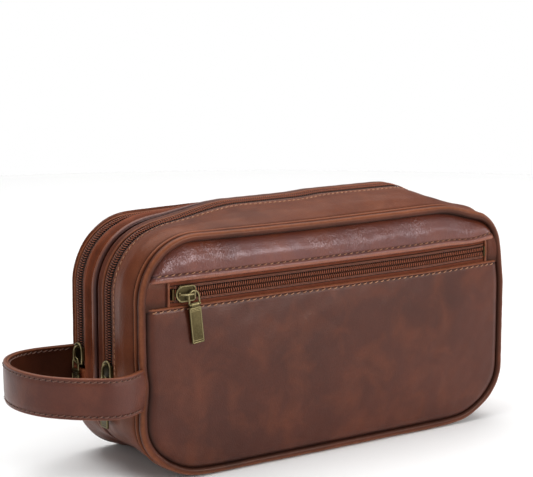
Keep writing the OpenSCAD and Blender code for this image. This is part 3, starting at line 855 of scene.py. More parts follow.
def inside_sheets():
    inside = BODY.inset(LEATHER_T)
    inner_sheet("pocket_back_sheet", inside, high("pocket_pouch_upper", Z), POUCH_Y, 0.3, LINING,
                FRONT_FOLD, ["pocket_pouch_lower", "pocket_pouch_upper"], "lining", 0.12)
    pads = [("front_foam_pad", inside, FRONT_FOAM, FRONT_FOLD, "front_foam"),
            ("back_foam_pad", BODY.inset(7.2), REAR_FOAM, REAR_FOLD, "rear_foam")]
    for name, outline, (y0, y1), moves, node in pads:
        pad = inner_sheet(name, outline, outline.top, y0 + 0.2, y1 - y0 - 0.4, FOAM, moves,
                          [node + "_lower", node + "_upper"], "foam", 0.1)
    rim = 2.6
    divided = Outline(HALF_L - rim, 2 * SEAM_HALF, TOP - rim, TOP_R - rim, BASE_R - rim)
    inner_sheet("divider_panel", divided, TOP - rim, SEAM_Y - 0.8, 1.6, LINING, "case",
                ["divider"], "lining", 0.5)


# ---- Piping and side bands ----

def loop_places(outline, spacing=1.5):
    return np.linspace(0, outline.length, int(outline.length / spacing), endpoint=False)


def piping(name, outline, y, r, finish, moves, stands_for, seed, lean=40, lift=0.0,
           crease=0.7):
    """A piping cord: a round leather tube with a slightly uneven run.

    lean is the angle between straight out and its rubbed side, towards the face beside it. The
    rubbed side is lightened as a painted highlight, and crease sets how far the sides against the
    face and the band are darkened as painted shade.
    """
    us = loop_places(outline)
    a = np.linspace(0, 2 * math.pi, 18, endpoint=False)
    x, z, _, _ = outline.at(us)
    uneven = 0.16 * ripple(x, z, 38, seed)
    grow = r * (1 + 0.035 * ripple(x, z, 9, seed + 1))
    across = y + uneven[:, None] + grow[:, None] * np.cos(a)
    outwards = (lift * side_mask(us)[:, None] + 0.12 * uneven[:, None]
                + grow[:, None] * np.sin(a))
    way = 1 if y > 0 else -1
    turn = math.pi / 2 + way * (a - math.pi / 2)
    top = math.radians(90 - lean)
    # Painted highlight on the rubbed side, painted shade where the cord meets the face and the band.
    rubbed_and_highlight = 0.6 * np.clip(np.cos(turn - top), 0, 1) ** 5
    shade_by_face = np.clip(np.cos(turn - top + math.radians(116)), 0, 1) ** 5
    shade_by_band = np.clip(np.cos(turn - top - math.radians(85)), 0, 1) ** 4
    wear = rubbed_and_highlight - crease * (shade_by_face + 0.9 * shade_by_band)
    u = us[:, None]
    solid = rings(on_outline(outline, stack(u, across, outwards)), True)
    make(name, solid, finish, moves, stands_for, "leather", wear=wear)


def all_piping():
    piping("front_piping", FRONT_RIM, FRONT_Y + PIPING_R, PIPING_R, EDGING, FRONT_FOLD,
           ["front_piping_lower", "front_piping_upper"], 41)
    piping("back_piping", BACK_RIM, BACK_Y - PIPING_R, PIPING_R, EDGING, REAR_FOLD,
           ["rear_piping_lower", "rear_piping_upper"], 43)
    seam = Outline(HALF_L - 0.8, SEAM_HALF, TOP - 0.8, TOP_R - 0.8, BASE_R - 0.8)
    piping("seam_piping_cord", seam, SEAM_Y, SEAM_HALF, DARK, "case", ["seam_piping"], 45, 0,
           0.7, 0.45)


def side_mask(u):
    """1 where the outline isn't on the base, so that the base itself stays flat."""
    _, z, _, _ = BODY.at(u)
    return step(6, 34, z)


def band(name, us, profile, bulge, edge_wave, finish, moves, stands_for, slot, seed):
    """A leather side band. profile lists (y, w, bulge share, edge share, wear with painted highlight
    and shade) across it.
    """
    thick = 1.2
    y, w, soft, edge, wear = flow(profile, 38).T
    x, z, _, _ = BODY.at(us)
    swell = bulge * side_mask(us) * (1 + 0.35 * ripple(x, z, 90, seed))
    small = 0.14 * ripple(us[:, None], y[None] * 2.0, 15, seed + 1) * soft[None]
    outer_y = y[None] + edge_wave(us)[:, None] * edge[None]
    turned_in = rear_round(outer_y) * (0.45 + 0.55 * side_mask(us))[:, None]
    outer_w = w[None] + swell[:, None] * soft[None] + small * side_mask(us)[:, None] - turned_in
    to_end = np.minimum(us - us[0], us[-1] - us)
    outer_w = outer_w - 0.9 * np.exp(-to_end / 1.1)[:, None] * (w[None] > -2)
    outer_w = outer_w + 0.35 * bump(3.0, 1.6, to_end)[:, None] * soft[None]
    tangent_y, tangent_w = np.gradient(outer_y, axis=1), np.gradient(outer_w, axis=1)
    size = np.hypot(tangent_y, tangent_w)
    sign = 1.0 if y[-1] > y[0] else -1.0
    inner_y = outer_y + sign * tangent_w / size * thick
    inner_w = outer_w - sign * tangent_y / size * thick
    outer = on_outline(BODY, stack(us[:, None], outer_y, outer_w))
    inner = on_outline(BODY, stack(us[:, None], inner_y, inner_w))
    make(name, shell(outer, inner), finish, moves, stands_for, slot, sharp=60, wear=wear)


def no_wave(u):
    return np.zeros(len(u))


def top_wave(seed, size):
    """A wandering zip edge, on the top of the bag only, where no slider is modelled."""
    def wave(u):
        x, z, _, _ = BODY.at(u)
        return size * step(112, 131, z) * ripple(x, 0 * x, 75, seed)
    return wave


def upper_places(z_end):
    return np.linspace(BODY.left(z_end), BODY.right(z_end),
                       int((BODY.right(z_end) - BODY.left(z_end)) / 1.6))


def lower_places(z_end):
    start = BODY.right(z_end)
    span = BODY.length - start + BODY.left(z_end)
    return start + np.linspace(0, span, int(span / 1.6))


def profile_from(y, way, rows):
    """Rows of (distance, w, bulge share, edge share, wear with painted highlight and shade), with
    their distances as places.
    """
    return [(y + way * distance, *rest) for distance, *rest in rows]


def face_edge(band_y, out):
    """Where a band rises out of its seam with a piping: a narrow welt, then a crease."""
    # The last column darkens the seam beside the piping and the crease as painted shade, and
    # lightens the welt's top as a painted highlight.
    return profile_from(band_y, -out, [
        (0.2, -6.0, 0, 0, -0.9), (0, -3.6, 0, 0, -0.9), (0.15, -1.5, 0, 0, -0.8),
        (0.9, -0.25, 0, 0, 0.25), (1.7, 0.15, 0, 0, 0.7), (2.6, -0.35, 0, 0, -0.1),
        (3.4, -0.95, 0, 0, -0.75), (4.5, -0.35, 0.15, 0, 0)])


def zip_edge(zip_y, out):
    """The turned edge of a band beside a zip, with its row of stitches, seen from the band."""
    # The last column lightens the turned edge, partly as rubbed wear and partly as a painted
    # highlight, and darkens its part turned under towards the zip as painted shade.
    return profile_from(zip_y + out * ZIP_GAP, out, [
        (3.4, 0.1, 0.15, 1, 0), (2.0, -0.2, 0, 1, 0.1), (1.0, 0.12, 0, 1, 0.3),
        (0.25, -0.15, 0, 1, 0.6), (0, -0.8, 0, 1, 0), (0.3, -1.45, 0, 1, -0.6)])


def seam_edge(seam_y, out):
    """A band's edge where it goes down into the middle seam, seen from the band."""
    # The last column darkens the edge as it goes down into the seam, as painted shade.
    return profile_from(seam_y, out, [
        (1.9, 0, 0.1, 0, 0.1), (0.9, -0.35, 0, 0, -0.2), (0.35, -1.3, 0, 0, -0.8),
        (0.25, -2.6, 0, 0, -0.9), (0.3, -4.2, 0, 0, -0.9)])


def bands():
    """The three leather bands round each compartment. out is -1 in front and 1 behind."""
    sides = [("front", FRONT_BAND, FRONT_ZIP, SEAM_Y - SEAM_HALF, -1, FRONT_FOLD, INNER, 61),
             ("rear", REAR_BAND, REAR_ZIP, SEAM_Y + SEAM_HALF, 1, REAR_FOLD, RUST, 71)]
    for side, band_y, zip_y, seam_y, out, fold, inner_finish, seed in sides:
        face, zipped = face_edge(band_y, out), zip_edge(zip_y, out)
        a, b = face[-1][0], zipped[0][0]
        share = 0.35 if out < 0 else 0.5
        field = [(a + (b - a) * share, 0.35, 1, 0.2, 0), (a + (b - a) * 0.75, 0.25, 0.7, 0.7, 0)]
        band(f"{side}_band_outer", upper_places(ZIP_END), face + field + zipped,
             1.2 if out < 0 else 0.6, top_wave(seed, 0.9), BAND, fold,
             [f"{side}_gusset_outer"], "leather", seed)
        near, seam = zip_edge(zip_y, -out), seam_edge(seam_y, out)
        if side == "front":
            near = near[1:]
        halfway = (near[0][0] + seam[0][0]) / 2
        field = [(halfway, 0.4, 1, 0.5, 0.05)]
        # In the rear inner band the bulge is lightened a little as a painted highlight, and its
        # slope towards the seam darkened a little as painted shade.
        if side == "rear":
            field = [(halfway + 1.0, 1.5, 1, 0.5, 0.2), (halfway - 1.5, 0.9, 0.6, 0.2, -0.3)]
        band(f"{side}_band_inner", upper_places(ZIP_END), near[::-1] + field + seam,
             0.3 if out < 0 else 0.9, top_wave(seed, 0.6), inner_finish, "case",
             [f"{side}_gusset_inner"], "leather_light" if out > 0 else "leather", seed + 2)
        a, b = face[-1][0], seam[0][0]
        field = [(a * 0.8 + b * 0.2, 0.05, 0.8, 0, 0), ((a + b) / 2, 0.1, 1, 0, 0),
                 (a * 0.2 + b * 0.8, 0.05, 0.8, 0, 0)]
        band(f"{side}_band_lower", lower_places(ZIP_END), face + field + seam, 0.8, no_wave,
             BAND, "case", [f"{side}_gusset_lower"], "leather", seed + 4)


# ---- Zips ----

def coil_line(start, end, side):
    """The middle line of one nylon coil: flat turns across the zip, a pitch apart."""
    half, reach, rise = 1.3, 1.5, 0.62
    turns = (end - start) / COIL_PITCH
    phase = np.linspace(0, 2 * math.pi * turns, int(turns * 12) + 1)
    shift = 0.5 * COIL_PITCH if side > 0 else 0.0
    along = start + COIL_PITCH * phase / (2 * math.pi) + 0.5 * shift
    across = side * (reach - half * np.cos(phase))
    return stack(along, across, -0.55 + rise * np.sin(phase)), -np.cos(phase)


def phase_of(line):
    """Where a coil's line is low, seen from its height: an angle whose sine is the height."""
    w = line[:, 2]
    half = (w.max() - w.min()) / 2
    return np.arcsin(np.clip((w - w.min() - half) / half, -1, 1))


def coil_solid(start, end, side, place, y0=0.0):
    line, inward = coil_line(start, end, side)
    t = unit(np.gradient(line, axis=0))
    a = unit(np.cross(t, [[1.0, 0, 0]]))
    ring = np.linspace(0, 2 * math.pi, 6, endpoint=False)
    r = 0.27 + 0.09 * np.clip(-inward, 0, 1) ** 4
    grid = line[:, None] + r[:, None, None] * ring_round(a, np.cross(t, a), 6)
    grid[..., 1] += y0
    # Painted shade: each turn is darkened at its two ends, on its underside and where it dips low.
    shaded_underside = np.clip(-np.sin(ring), 0, 1)
    dark = np.clip(np.abs(inward)[:, None] ** 3 + 0.8 * shaded_underside[None] ** 2
                   + np.clip(-np.sin(phase_of(line)), 0, 1)[:, None], 0, 1)
    return rings(place(grid)), dark.ravel()


def zip_thread(start, end, side, place, y0=0.0):
    """The two sewing threads that hold a coil to its tape."""
    parts = []
    n = int((end - start) / (COIL_PITCH / 2))
    along = np.linspace(start, end, n)
    ring = np.linspace(0, 2 * math.pi, 5, endpoint=False)
    for across in (3.3, 4.0):
        line = stack(along, side * across + y0, -0.75 + 0.09 * np.cos(np.arange(n) * math.pi))
        grid = line[:, None] + 0.22 * stack(0, np.cos(ring), np.sin(ring))
        parts.append(rings(place(grid)))
    return join(parts)


def tape_solid(start, end, side, place, y0, near, far_edge, w0):
    """One woven zip tape with its fields along and across, slightly hollow between edges."""
    n = int((end - start) / 1.6)
    us = np.linspace(start, end, n)
    across = np.linspace(near, far_edge, 9)
    top = w0 + 0.12 * np.cos(np.linspace(0, 2 * math.pi, 9))
    across = np.concatenate([across, across[::-1]])
    w = np.concatenate([top, top[::-1] - TAPE_T + 0.2])
    solid = rings(place(stack(us[:, None], side * across + y0, w)))
    return solid, {"along": np.repeat(us, 18), "across": np.tile(across, n)}


def main_zip(name, y, stop, out, fold):
    """One main zip: the half by the flap is given the flap's fold, which make() doesn't attach, and
    the other half stays on the case.
    """
    def place(p):
        return on_outline(BODY, p)
    chain = (BODY.left(stop[1]), BODY.right(stop[1]))
    tape_run = (BODY.left(ZIP_END + 0.3), BODY.right(ZIP_END + 0.3))
    halves = [("outer", out, fold, [f"{name}_zip_{{}}_outer", f"{name}_zip_{{}}_ends"]),
              ("inner", -out, "case", [f"{name}_zip_{{}}_inner"])]
    for half, side, moves, nodes in halves:
        solid, fields = tape_solid(*tape_run, side, place, y, 0.4, 6.2, -LEATHER_T + 0.05)
        make(f"{name}_tape_{half}", solid, TAPE, moves, [n.format("tape") for n in nodes],
             "zip_tape", **fields)
        solid, head = coil_solid(*chain, side, place, y)
        make(f"{name}_coil_{half}", solid, COIL, moves, [n.format("coil") for n in nodes],
             "zip_coil", sharp=80, head=head)
        make(f"{name}_coil_thread_{half}", zip_thread(*chain, side, place, y), COIL_THREAD, moves,
             slot="thread")
    stops = []
    for turn in (1, -1):
        face = Matrix.Diagonal((turn, 1, 1, 1)) @ side_matrix(y, (stop[0] + stop[1]) / 2)
        for w0, w1 in [(-0.4, 0.65), (-2.2, -1.9)]:
            stops.append(placed(plate(rounded(6.0, 1.5, 0.4), w0, w1, 0.14), face))
    make(f"{name}_stops", join(stops), STOPS, "case", [f"{name}_zip_stops"], "brass", soft=False)


def zip_end_tabs(name, u0, u1, y0, y1, stands_for):
    """A zip's two end tabs: small leather pieces with rounded, rubbed edges, sewn across."""
    rows, columns = np.meshgrid(np.linspace(0, 1, 18), np.linspace(0, 1, 22), indexing="ij")
    edge = np.minimum(np.minimum(rows, 1 - rows) * (u1 - u0),
                      np.minimum(columns, 1 - columns) * (y1 - y0))
    rise = 0.25 + 0.95 * np.sqrt(1 - (1 - np.clip(edge / 1.1, 0, 1)) ** 2)
    rise = rise - 0.28 * bump(0.5, 0.09, rows) + 0.12 * ripple(rows * 8, columns * 13, 6, 83)
    u, y = u0 + (u1 - u0) * rows, y0 + (y1 - y0) * columns
    tabs = [shell(on_outline(BODY, stack(at, y, rise)), on_outline(BODY, stack(at, y, -0.5)))
            for at in (u, BODY.length - u)]
    make(name, join(tabs), RUST, "case", stands_for, "leather_light",
         wear=0.8 * bump(0.3, 0.5, edge))


def side_matrix(y, z):
    """Places a part drawn along a zip (x across it, y along it, z outwards) on the left side."""
    return (Matrix.Translation((-HALF_L, y, z)) @ Matrix.Rotation(-math.pi / 2, 4, "Z")
            @ Matrix.Rotation(math.pi / 2, 4, "X"))


def front_matrix(x, turn=0.0):
    """Places a part drawn along a zip on the front face, over the pocket's zip."""
    return (Matrix.Translation((x, FRONT_Y, POCKET_Z)) @ Matrix.Rotation(math.pi / 2, 4, "X")
            @ Matrix.Rotation(turn, 4, "Z"))


def pocket_zip():
    start, end = POCKET_COIL
    tape_x = high("pocket_zip_tapes", X)
    tapes, coils, threads, along, across, heads = [], [], [], [], [], []
    for side in (1, -1):
        solid, fields = tape_solid(-tape_x, tape_x, side, on_pocket, 0.0, 0.4, 8.9,
                                   -LEATHER_T + 0.05)
        tapes.append(solid)
        along.append(fields["along"])
        across.append(fields["across"])
        solid, head = coil_solid(start, end, side, on_pocket)
        coils.append(solid)
        heads.append(head)
        threads.append(zip_thread(start, end, side, on_pocket))
    make("pocket_tapes", join(tapes), TAPE, "front_flap", ["pocket_zip_tapes"], "zip_tape",
         along=np.concatenate(along), across=np.concatenate(across))
    make("pocket_coils", join(coils), COIL, "front_flap", ["pocket_zip_coils"], "zip_coil",
         sharp=80, head=np.concatenate(heads))
    make("pocket_coil_threads", join(threads), COIL_THREAD, "front_flap", slot="thread")
    stops = []
    for x in (low("pocket_zip_stops", X) + 0.75, high("pocket_zip_stops", X) - 0.75):
        for w0, w1 in [(-0.5, 0.55), (-2.6, -2.3)]:
            stops.append(placed(plate(rounded(1.4, 6.0, 0.4), w0, w1, 0.14), front_matrix(x)))
    make("pocket_stops", join(stops), STOPS, "front_flap", ["pocket_zip_stops"], "brass")


def pocket_end_tab(name, x_in, x_out, node, seed):
    """A leather tab between the pocket's two panels, with its inner edge rolled over."""
    across = (spread(26, 1.3) + 1) / 2
    x = x_in + (x_out - x_in) * across
    z = np.linspace(POCKET_LOW - 1.5, POCKET_HIGH + 1.5, 26)
    gx, gz = np.meshgrid(x, z, indexing="ij")
    inward = np.abs(gx - x_in)
    roll = 0.9 * np.sqrt(np.clip(1 - ((inward - 1.2) / 1.2) ** 2, 0, 1)) * (inward < 2.4)
    face = 0.35 + 0.45 * step(2.2, 5.0, inward) - 0.3 * bump(2.6, 0.35, inward)
    fade = np.sin(np.clip((gz - POCKET_LOW + 2) / (POCKET_HIGH - POCKET_LOW + 4), 0, 1) * math.pi)
    w = -LEATHER_T + 0.15 + (roll + face) * fade**0.5 + 0.08 * ripple(gx, gz, 7, seed)
    bow = 0.5 * np.sin((gz - POCKET_LOW) / (POCKET_HIGH - POCKET_LOW) * math.pi)
    gx = gx + np.sign(x_in) * bow * np.exp(-inward / 2.5) * 0.6
    outer, inner = stack(gx, FRONT_Y - w, gz), stack(gx, FRONT_Y + LEATHER_T - 0.1, gz)
    # Lightens the rolled edge, partly as rubbed wear and partly as a painted highlight, and darkens
    # the crease beside it and the face towards the bottom, under the pocket panel, as painted shade.
    wear = 0.6 * bump(0.9, 0.7, inward) - 0.6 * bump(2.6, 0.5, inward)
    wear = wear - 0.6 * (1 - step(0.5, 5, gz - POCKET_LOW)) * (inward > 2.4)
    make(name, shell(outer, inner), INNER, "front_flap", [node], "leather",
         wear=wear)


# ---- Sliders and pulls ----

SLIDER_W, SLIDER_L = 9.0, 12.4
PIVOT = 3.7          # from a slider's middle to its link's pivot
RING_MIDDLE = 1.65   # from the pivot down to the middle of the link's ring
RING_R = 3.15
PIN = 5.9            # from the pivot down to the link's pin
TAB_TOP, TAB_END = 7.3, 27.2
TAB_W = 7.6
PULL_W = 2.9         # height of a pull's middle plane over the leather


def slider_outline(grow=0.0):
    r = SLIDER_W / 2 + grow
    y = (SLIDER_L - SLIDER_W) / 2
    c = 1.6
    low_y = c - SLIDER_L / 2 - grow
    return (arc(0, y, r, 0, 180, 19) + arc(c - r, low_y, c, 180, 270, 5)
            + arc(r - c, low_y, c, 270, 360, 5))


def joined_wear(pieces):
    """Several solids as one mesh, with the wear that each is given as its field."""
    wear = [np.full(len(solid[0]), amount) for solid, amount in pieces]
    return join([solid for solid, _ in pieces]), np.concatenate(wear)


def slider_solid():
    """A nylon-zip slider: two plates with side walls, a raised rim, and a bail over the top."""
    pieces = [(plate(slider_outline(), 0.45, 1.2, 0.3), -0.55),
              (plate(slider_outline(), -3.7, -2.75, 0.3), 0)]
    rim = np.array([(x, y, 1.25) for x, y in slider_outline(-0.5)])
    pieces.append((tube(rim, 0.5, 8, closed=True), 0.75))
    for side in (-1, 1):
        wall = [(side * 4.05 + x, y) for x, y in rounded(0.95, 7.6, 0.4)]
        pieces.append((plate(wall, -1.2, 0.6, 0.2), 0))
    pieces.append((plate(rounded(0.7, 3.0, 0.3), -2.9, 0.6, 0.1), -0.5))
    bail = flow([(0, -3.7, 1.0), (0, -3.72, 2.2), (0, -3.45, 3.5), (0, -2.3, 4.1),
                 (0, 0.4, 4.1), (0, 2.6, 3.7), (0, 3.7, 2.8), (0, 4.0, 2.0), (0, 4.05, 1.0)], 40)
    pieces.append((tube(bail, 0.6, 12), 0.5))
    pieces.append((plate([(x, y + 4.0) for x, y in rounded(2.2, 1.5, 0.6)], 1.1, 1.9, 0.3), 0.1))
    pieces.append((plate(arc(0, -3.7, 0.95, 0, 340, 18), 1.1, 2.0, 0.25), 0.1))
    return joined_wear(pieces)


def link_solid():
    """The arch-shaped link: a bent round wire whose two arms end in eyes on a pin."""
    legs = np.linspace(-PIN, -RING_MIDDLE, 6)[:-1]
    bend = arc(0, -RING_MIDDLE, RING_R, 0, 180, 25)
    wire = [(RING_R, y) for y in legs] + bend + [(-RING_R, y) for y in legs[::-1]]
    pieces = [(tube([(x, y, PULL_W) for x, y in wire], 0.52, 10), 0.5)]
    pin = [(-3.75, -PIN, PULL_W), (0, -PIN, PULL_W), (3.75, -PIN, PULL_W)]
    pieces.append((tube(pin, 0.55, 12), 0.2))
    for side in (-1, 1):
        eye = [(side * x, -PIN, PULL_W) for x in (2.72, 2.85, 3.0, 3.3, 3.45, 3.58)]
        for (a, b), r in zip(zip(eye, eye[1:]), (0.8, 0.95, 1.0, 0.95, 0.8)):
            pieces.append((tube([a, b], r, 14), 0.1))
    return joined_wear(pieces)


def tab_solid():
    """A flat pull tab with a rolled eye, shoulders, a raised border and three fine ridges."""
    barrel = [(x, -PIN, PULL_W) for x in (-2.5, -2.35, 0, 2.35, 2.5)]
    pieces = [(tube(barrel, 1.12, 16), 0.2)]
    neck = [(-2.45, -PIN - 0.2), (-2.45, -TAB_TOP - 0.2), (2.45, -TAB_TOP - 0.2),
            (2.45, -PIN - 0.2)]
    pieces.append((plate(neck, PULL_W - 0.55, PULL_W + 0.55, 0.15), -0.1))
    mid = -(TAB_TOP + TAB_END) / 2
    length = TAB_END - TAB_TOP
    body = [(x, y + mid) for x, y in rounded(TAB_W, length, 0.7, 5)]
    pieces.append((plate(body, PULL_W - 0.55, PULL_W + 0.45, 0.22), -0.15))
    frame_line = np.array([(x, y + mid) for x, y in rounded(TAB_W - 1.1, length - 1.1, 0.5, 5)])
    for face in (-1, 1):
        z = PULL_W + (0.42 if face > 0 else -0.5)
        border = np.column_stack([frame_line, np.full(len(frame_line), z)])
        pieces.append((tube(border, 0.27, 8, closed=True, flat=0.8), 0.5))
        for y in (-TAB_TOP - 1.5, -TAB_TOP - 2.3, -TAB_END + 1.7):
            ridge = [(x, y, z) for x in (-3.0, -1.5, 0, 1.5, 3.0)]
            pieces.append((tube(ridge, 0.2, 8, flat=0.8), 0.35))
    return joined_wear(pieces)


def pulls():
    """Three sliders with their links and tabs, each at the place that its CAD node has."""
    front_slider_x = middle("pocket_slider", X)
    lean = math.radians(6)
    sets = [("pocket", front_matrix(front_slider_x, math.pi / 2),
             front_matrix(front_slider_x + PIVOT, lean)),
            ("front", side_matrix(FRONT_ZIP, middle("front_slider", Z)),
             side_matrix(FRONT_ZIP, middle("front_slider", Z) - PIVOT)),
            ("rear", side_matrix(REAR_ZIP, middle("rear_slider", Z)),
             side_matrix(REAR_ZIP, middle("rear_slider", Z) - PIVOT))]
    for name, at_slider, at_pull in sets:
        for part, (solid, wear), matrix in [("slider", slider_solid(), at_slider),
                                            ("pull_link", link_solid(), at_pull),
                                            ("pull_tab", tab_solid(), at_pull)]:
            node = f"{name}_{part}"
            make(f"{node}_brass", placed(solid, matrix), BRASS, node, [node], "brass", soft=False,
                 sharp=45, wear=wear)


# ---- Stitching ----

def sewn(name, line, out, moves, finish=THREAD, gap=STITCH_PITCH):
    """A row of stitches and the painted shade of their needle holes, along a line of points with
    outward directions.
    """
    run = run_of(line)
    at = np.arange(gap / 2, run[-1], gap)

    def sample(where, values):
        return stack(*(np.interp(where, run, column) for column in values.T))
    places, normal = sample(at, line), unit(sample(at, out))
    along = unit(sample(at + 0.5, line) - sample(at - 0.5, line))
    make(name, stitches(places, along, normal), finish, moves, slot="thread", sharp=80)
    make(name + "_holes", holes(places + along * gap / 2, normal), HOLE_SHADE, moves, slot="thread")


def band_stitches(name, y, wave, moves):
    us = upper_places(ZIP_END + 6)
    _, _, nx, nz = BODY.at(us)
    sewn(name, on_outline(BODY, stack(us, y + wave(us), -0.25)), stack(nx, 0, nz), moves,
         STRAP_THREAD if y > 0 else THREAD, 3.2)


def all_stitches(pocket_row, upper_row):
    for name, row in (("pocket_stitches_lower", pocket_row), ("pocket_stitches_upper", upper_row)):
        out = np.broadcast_to([0, -1.0, 0], row.shape)
        sewn(name, row, out, "front_flap")
    edge = ZIP_GAP + 2.0
    band_stitches("front_stitches_outer", FRONT_ZIP - edge, top_wave(61, 0.9), FRONT_FOLD)
    band_stitches("rear_stitches_outer", REAR_ZIP + edge, top_wave(71, 0.9), REAR_FOLD)


# ---- Lining ----

def lining():
    """The cloth inside each compartment: its wall behind the panel and its band."""
    sides = [("front", FRONT_FOAM[1], 1, FRONT_ZIP, SEAM_Y - SEAM_HALF, -1, FRONT_FOLD),
             ("rear", REAR_FOAM[0], -1, REAR_ZIP, SEAM_Y + SEAM_HALF, 1, REAR_FOLD)]
    outline = BODY.inset(LEATHER_T + 0.05)
    for side, y, way, zip_y, seam_y, out, fold in sides:
        inner_sheet(f"{side}_lining_wall", outline, outline.top, y, way * 0.5, LINING, fold,
                    [f"{side}_lining_upper"], "lining", 0.15)
        for part, y0, y1, us, moves in [
                ("outer", y + way * 0.6, zip_y + out * 6.6, upper_places(ZIP_END), fold),
                ("inner", zip_y - out * 6.6, seam_y, upper_places(ZIP_END), "case"),
                ("base", y + way * 0.6, seam_y, lower_places(ZIP_END), "case")]:
            across = np.linspace(y0, y1, 10)
            slack = 0.15 * ripple(us[:, None], across[None], 40, 91)
            turned_in = rear_round(across + 0.8)[None] * (0.45 + 0.55 * side_mask(us))[:, None]
            w = -LEATHER_T - 0.65 + slack - turned_in
            grid = stack(us[:, None], across[None], w)
            solid = shell(on_outline(BODY, grid), on_outline(BODY, grid - [0, 0, 0.4]))
            make(f"{side}_lining_{part}", solid, LINING, moves,
                 [f"{side}_lining_lower"] if part == "base" else [], "lining")


# ---- Strap ----

def strap_line():
    """The strap's middle line seen from above, from its sewn front end round to its rear end."""
    route = [(-124.5, -38.2), (-130, -42.2), (-138, -47.2), (-147, -48.8), (-157, -45.2),
             (-168.5, -37.8), (-177, -27.5), (-181.6, -15), (-182.2, -3), (-179.4, 9),
             (-173.6, 19.5), (-165, 27.3), (-155, 31.6), (-143, 33), (-125, 33.2)]
    return flow(route, spacing=1.5)


def strap():
    """Two layers of leather sewn along both edges, on one line that bows forward at the bag."""
    line = strap_line()
    n = len(line)
    t = unit(np.gradient(line, axis=0))
    out = stack(t[:, 1], -t[:, 0])
    out = -out if out[n // 2, 0] > 0 else out
    run = run_of(line)
    rise = 0.2 + 2.4 * np.sin(run / run[-1] * math.pi) ** 1.2
    lean = 0.045 * np.sin(run / run[-1] * math.pi * 1.3)
    layers = [("strap_outer_leather", 0.08, 1.6, ["strap"], 1),
              ("strap_inner_leather", -1.45, -0.08, ["strap_roots"], -1)]
    for name, a, b, nodes, way in layers:
        half = 0.93 * STRAP_HALF - (0.15 if way < 0 else 0.0)
        v = np.concatenate([[-1, -0.985, -0.96], np.linspace(-0.93, 0.93, 17), [0.96, 0.985, 1]])
        edge = 1 - np.abs(v)
        round_off = 0.75 * (1 - np.sqrt(1 - (1 - np.clip(edge / 0.05, 0, 1)) ** 2))
        puff = 0.28 * (1 - np.abs(v / 0.8) ** 6).clip(0, 1) - 0.22 * bump(0.82, 0.03, np.abs(v))
        far_face = (b if way > 0 else a) + way * (puff - round_off)
        near_face = np.full(len(v), a if way > 0 else b)
        offset = np.concatenate([far_face, near_face])
        height = np.concatenate([v, v[::-1]]) * half
        lift = 0.12 * ripple(run[:, None], height[None], 26, 101 + way)
        depth = offset[None] + lift * (np.abs(offset) > 1)[None] + lean[:, None] * height[None]
        grid = stack(line[:, None, 0] + out[:, None, 0] * depth,
                     line[:, None, 1] + out[:, None, 1] * depth,
                     STRAP_Z + height[None] + rise[:, None])
        wear = np.concatenate([0.6 * bump(1.0, 0.04, np.abs(v)), 0.3 * bump(1.0, 0.04, np.abs(v))])
        make(name, rings(grid), STRAPPING if way > 0 else STRAP_INSIDE_SHADED, STRAP_BEND, nodes, "leather",
             sharp=60, wear=wear)
    for way in (1, -1):
        for side in (1, -1):
            v = side * 0.77 * STRAP_HALF
            depth = way * 1.5 + lean * v
            points = np.column_stack([line + out * depth[:, None],
                                      STRAP_Z + v + rise])
            normal = np.column_stack([way * out, np.zeros(n)])
            face, end = ("outer" if way > 0 else "inner"), ("top" if side > 0 else "base")
            sewn(f"strap_stitches_{face}_{end}", points[4:-4], normal[4:-4], STRAP_BEND,
                 STRAP_THREAD, 3.4)


# ---- Room, camera and light ----

def room():
    """A pale floor, wide enough to catch every shadow."""
    finish = Paint("floor", Roughness=0.6)
    tint = finish.noise(3, 2, 0.5)
    colour = finish.mix(finish.span(tint, 0.3, 0.7), (0.88, 0.88, 0.88, 1), (0.9, 0.9, 0.895, 1))
    finish.finish(colour)
    mesh = bpy.data.meshes.new("floor")
    edge = arc(0, 0, 1.15, 0, 360, 65)[:-1]
    mesh.from_pydata([(x, y, 0) for x, y in edge], [], [list(range(len(edge)))])
    mesh.materials.append(finish.material)
    floor = bpy.data.objects.new("floor", mesh)
    bpy.context.scene.collection.objects.link(floor)


def area_light(name, place, aim, size, power):
    data = bpy.data.lights.new(name, "AREA")
    data.shape, data.size, data.size_y = "RECTANGLE", size[0], size[1]
    data.energy = power
    light = bpy.data.objects.new(name, data)
    light.location = place
    light.rotation_euler = (Vector(aim) - Vector(place)).to_track_quat("-Z", "Y").to_euler()
    bpy.context.scene.collection.objects.link(light)


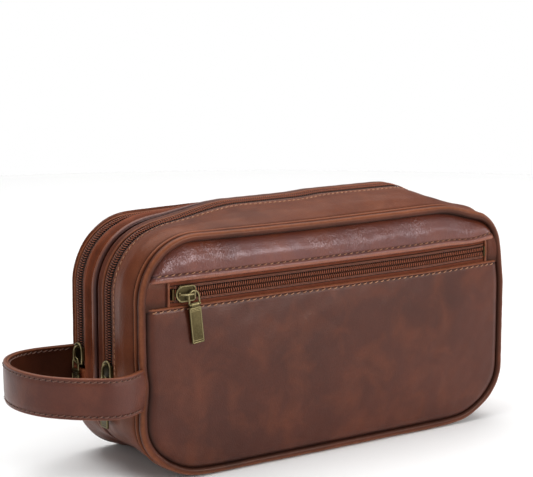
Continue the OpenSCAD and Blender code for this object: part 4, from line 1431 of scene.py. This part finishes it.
def lights():
    """A wide overhead softbox, a smaller one in front on the right, and two soft fills.

    The world is white below the horizon, so that the backdrop is as pale as the lit floor.
    """
    centre = (0, 0, 0.07)
    area_light("overhead", (0.1, 0.25, 2.0), centre, (2.6, 2.2), 51)
    area_light("sheen", (0.62, -1.48, 0.55), centre, (0.62, 0.46), 15)
    area_light("right_edge", (1.7, -0.8, 0.42), centre, (0.26, 0.7), 5)
    area_light("left_fill", (-1.7, -0.3, 0.9), centre, (0.9, 0.9), 4.5)
    world = bpy.data.worlds.new("studio")
    world.use_nodes = True
    nodes, links = world.node_tree.nodes, world.node_tree.links
    split, place = nodes.new("ShaderNodeSeparateXYZ"), nodes.new("ShaderNodeTexCoord")
    shade = nodes.new("ShaderNodeMapRange")
    links.new(place.outputs["Generated"], split.inputs[0])
    links.new(split.outputs[2], shade.inputs["Value"])
    for key, value in (("From Min", -0.01), ("From Max", 0.06), ("To Min", 1.0), ("To Max", 0.38)):
        shade.inputs[key].default_value = value
    links.new(shade.outputs[0], nodes["Background"].inputs[1])
    nodes["Background"].inputs[0].default_value = (1, 1, 1, 1)
    bpy.context.scene.world = world


def camera():
    """The photograph's viewpoint, to the left in front of the bag and a little above it."""
    data = bpy.data.cameras.new("camera")
    data.sensor_width = 36
    data.lens = 119.9
    data.clip_start, data.clip_end = 0.05, 50
    view = bpy.data.objects.new("camera", data)
    yaw, pitch = math.radians(34.66), math.radians(-9.93)
    ahead = Vector((math.cos(pitch) * math.sin(yaw), math.cos(pitch) * math.cos(yaw),
                    math.sin(pitch)))
    view.location = (-0.5859, -0.8204, 0.2926)
    view.rotation_mode = "QUATERNION"
    view.rotation_quaternion = ahead.to_track_quat("-Z", "Y")
    bpy.context.scene.collection.objects.link(view)
    bpy.context.scene.camera = view


def main():
    camera()
    lights()
    room()
    pocket_row = pocket_panel()
    upper_row = front_upper_panel()
    back_panel()
    inside_sheets()
    all_piping()
    bands()
    main_zip("front", FRONT_ZIP, FRONT_STOP, -1, FRONT_FOLD)
    main_zip("rear", REAR_ZIP, REAR_STOP, 1, REAR_FOLD)
    for name, y, tab in [("front", FRONT_ZIP, FRONT_TAB), ("rear", REAR_ZIP, REAR_TAB)]:
        zip_end_tabs(f"{name}_zip_tabs", BODY.left(tab[0]), BODY.left(tab[1]), y - 6.6, y + 6.6,
                     [f"{name}_zip_end_tabs"])
    pocket_zip()
    pocket_end_tab("pocket_tab_left", POCKET_LEFT, -FRONT_RIM.width(POCKET_Z) + 0.6,
                   "pocket_end_tab_left", 85)
    pocket_end_tab("pocket_tab_right", POCKET_RIGHT, FRONT_RIM.width(POCKET_Z) - 0.6,
                   "pocket_end_tab_right", 87)
    pulls()
    all_stitches(pocket_row, upper_row)
    lining()
    strap()
    bpy.context.scene.view_settings.view_transform = "Standard"


main()
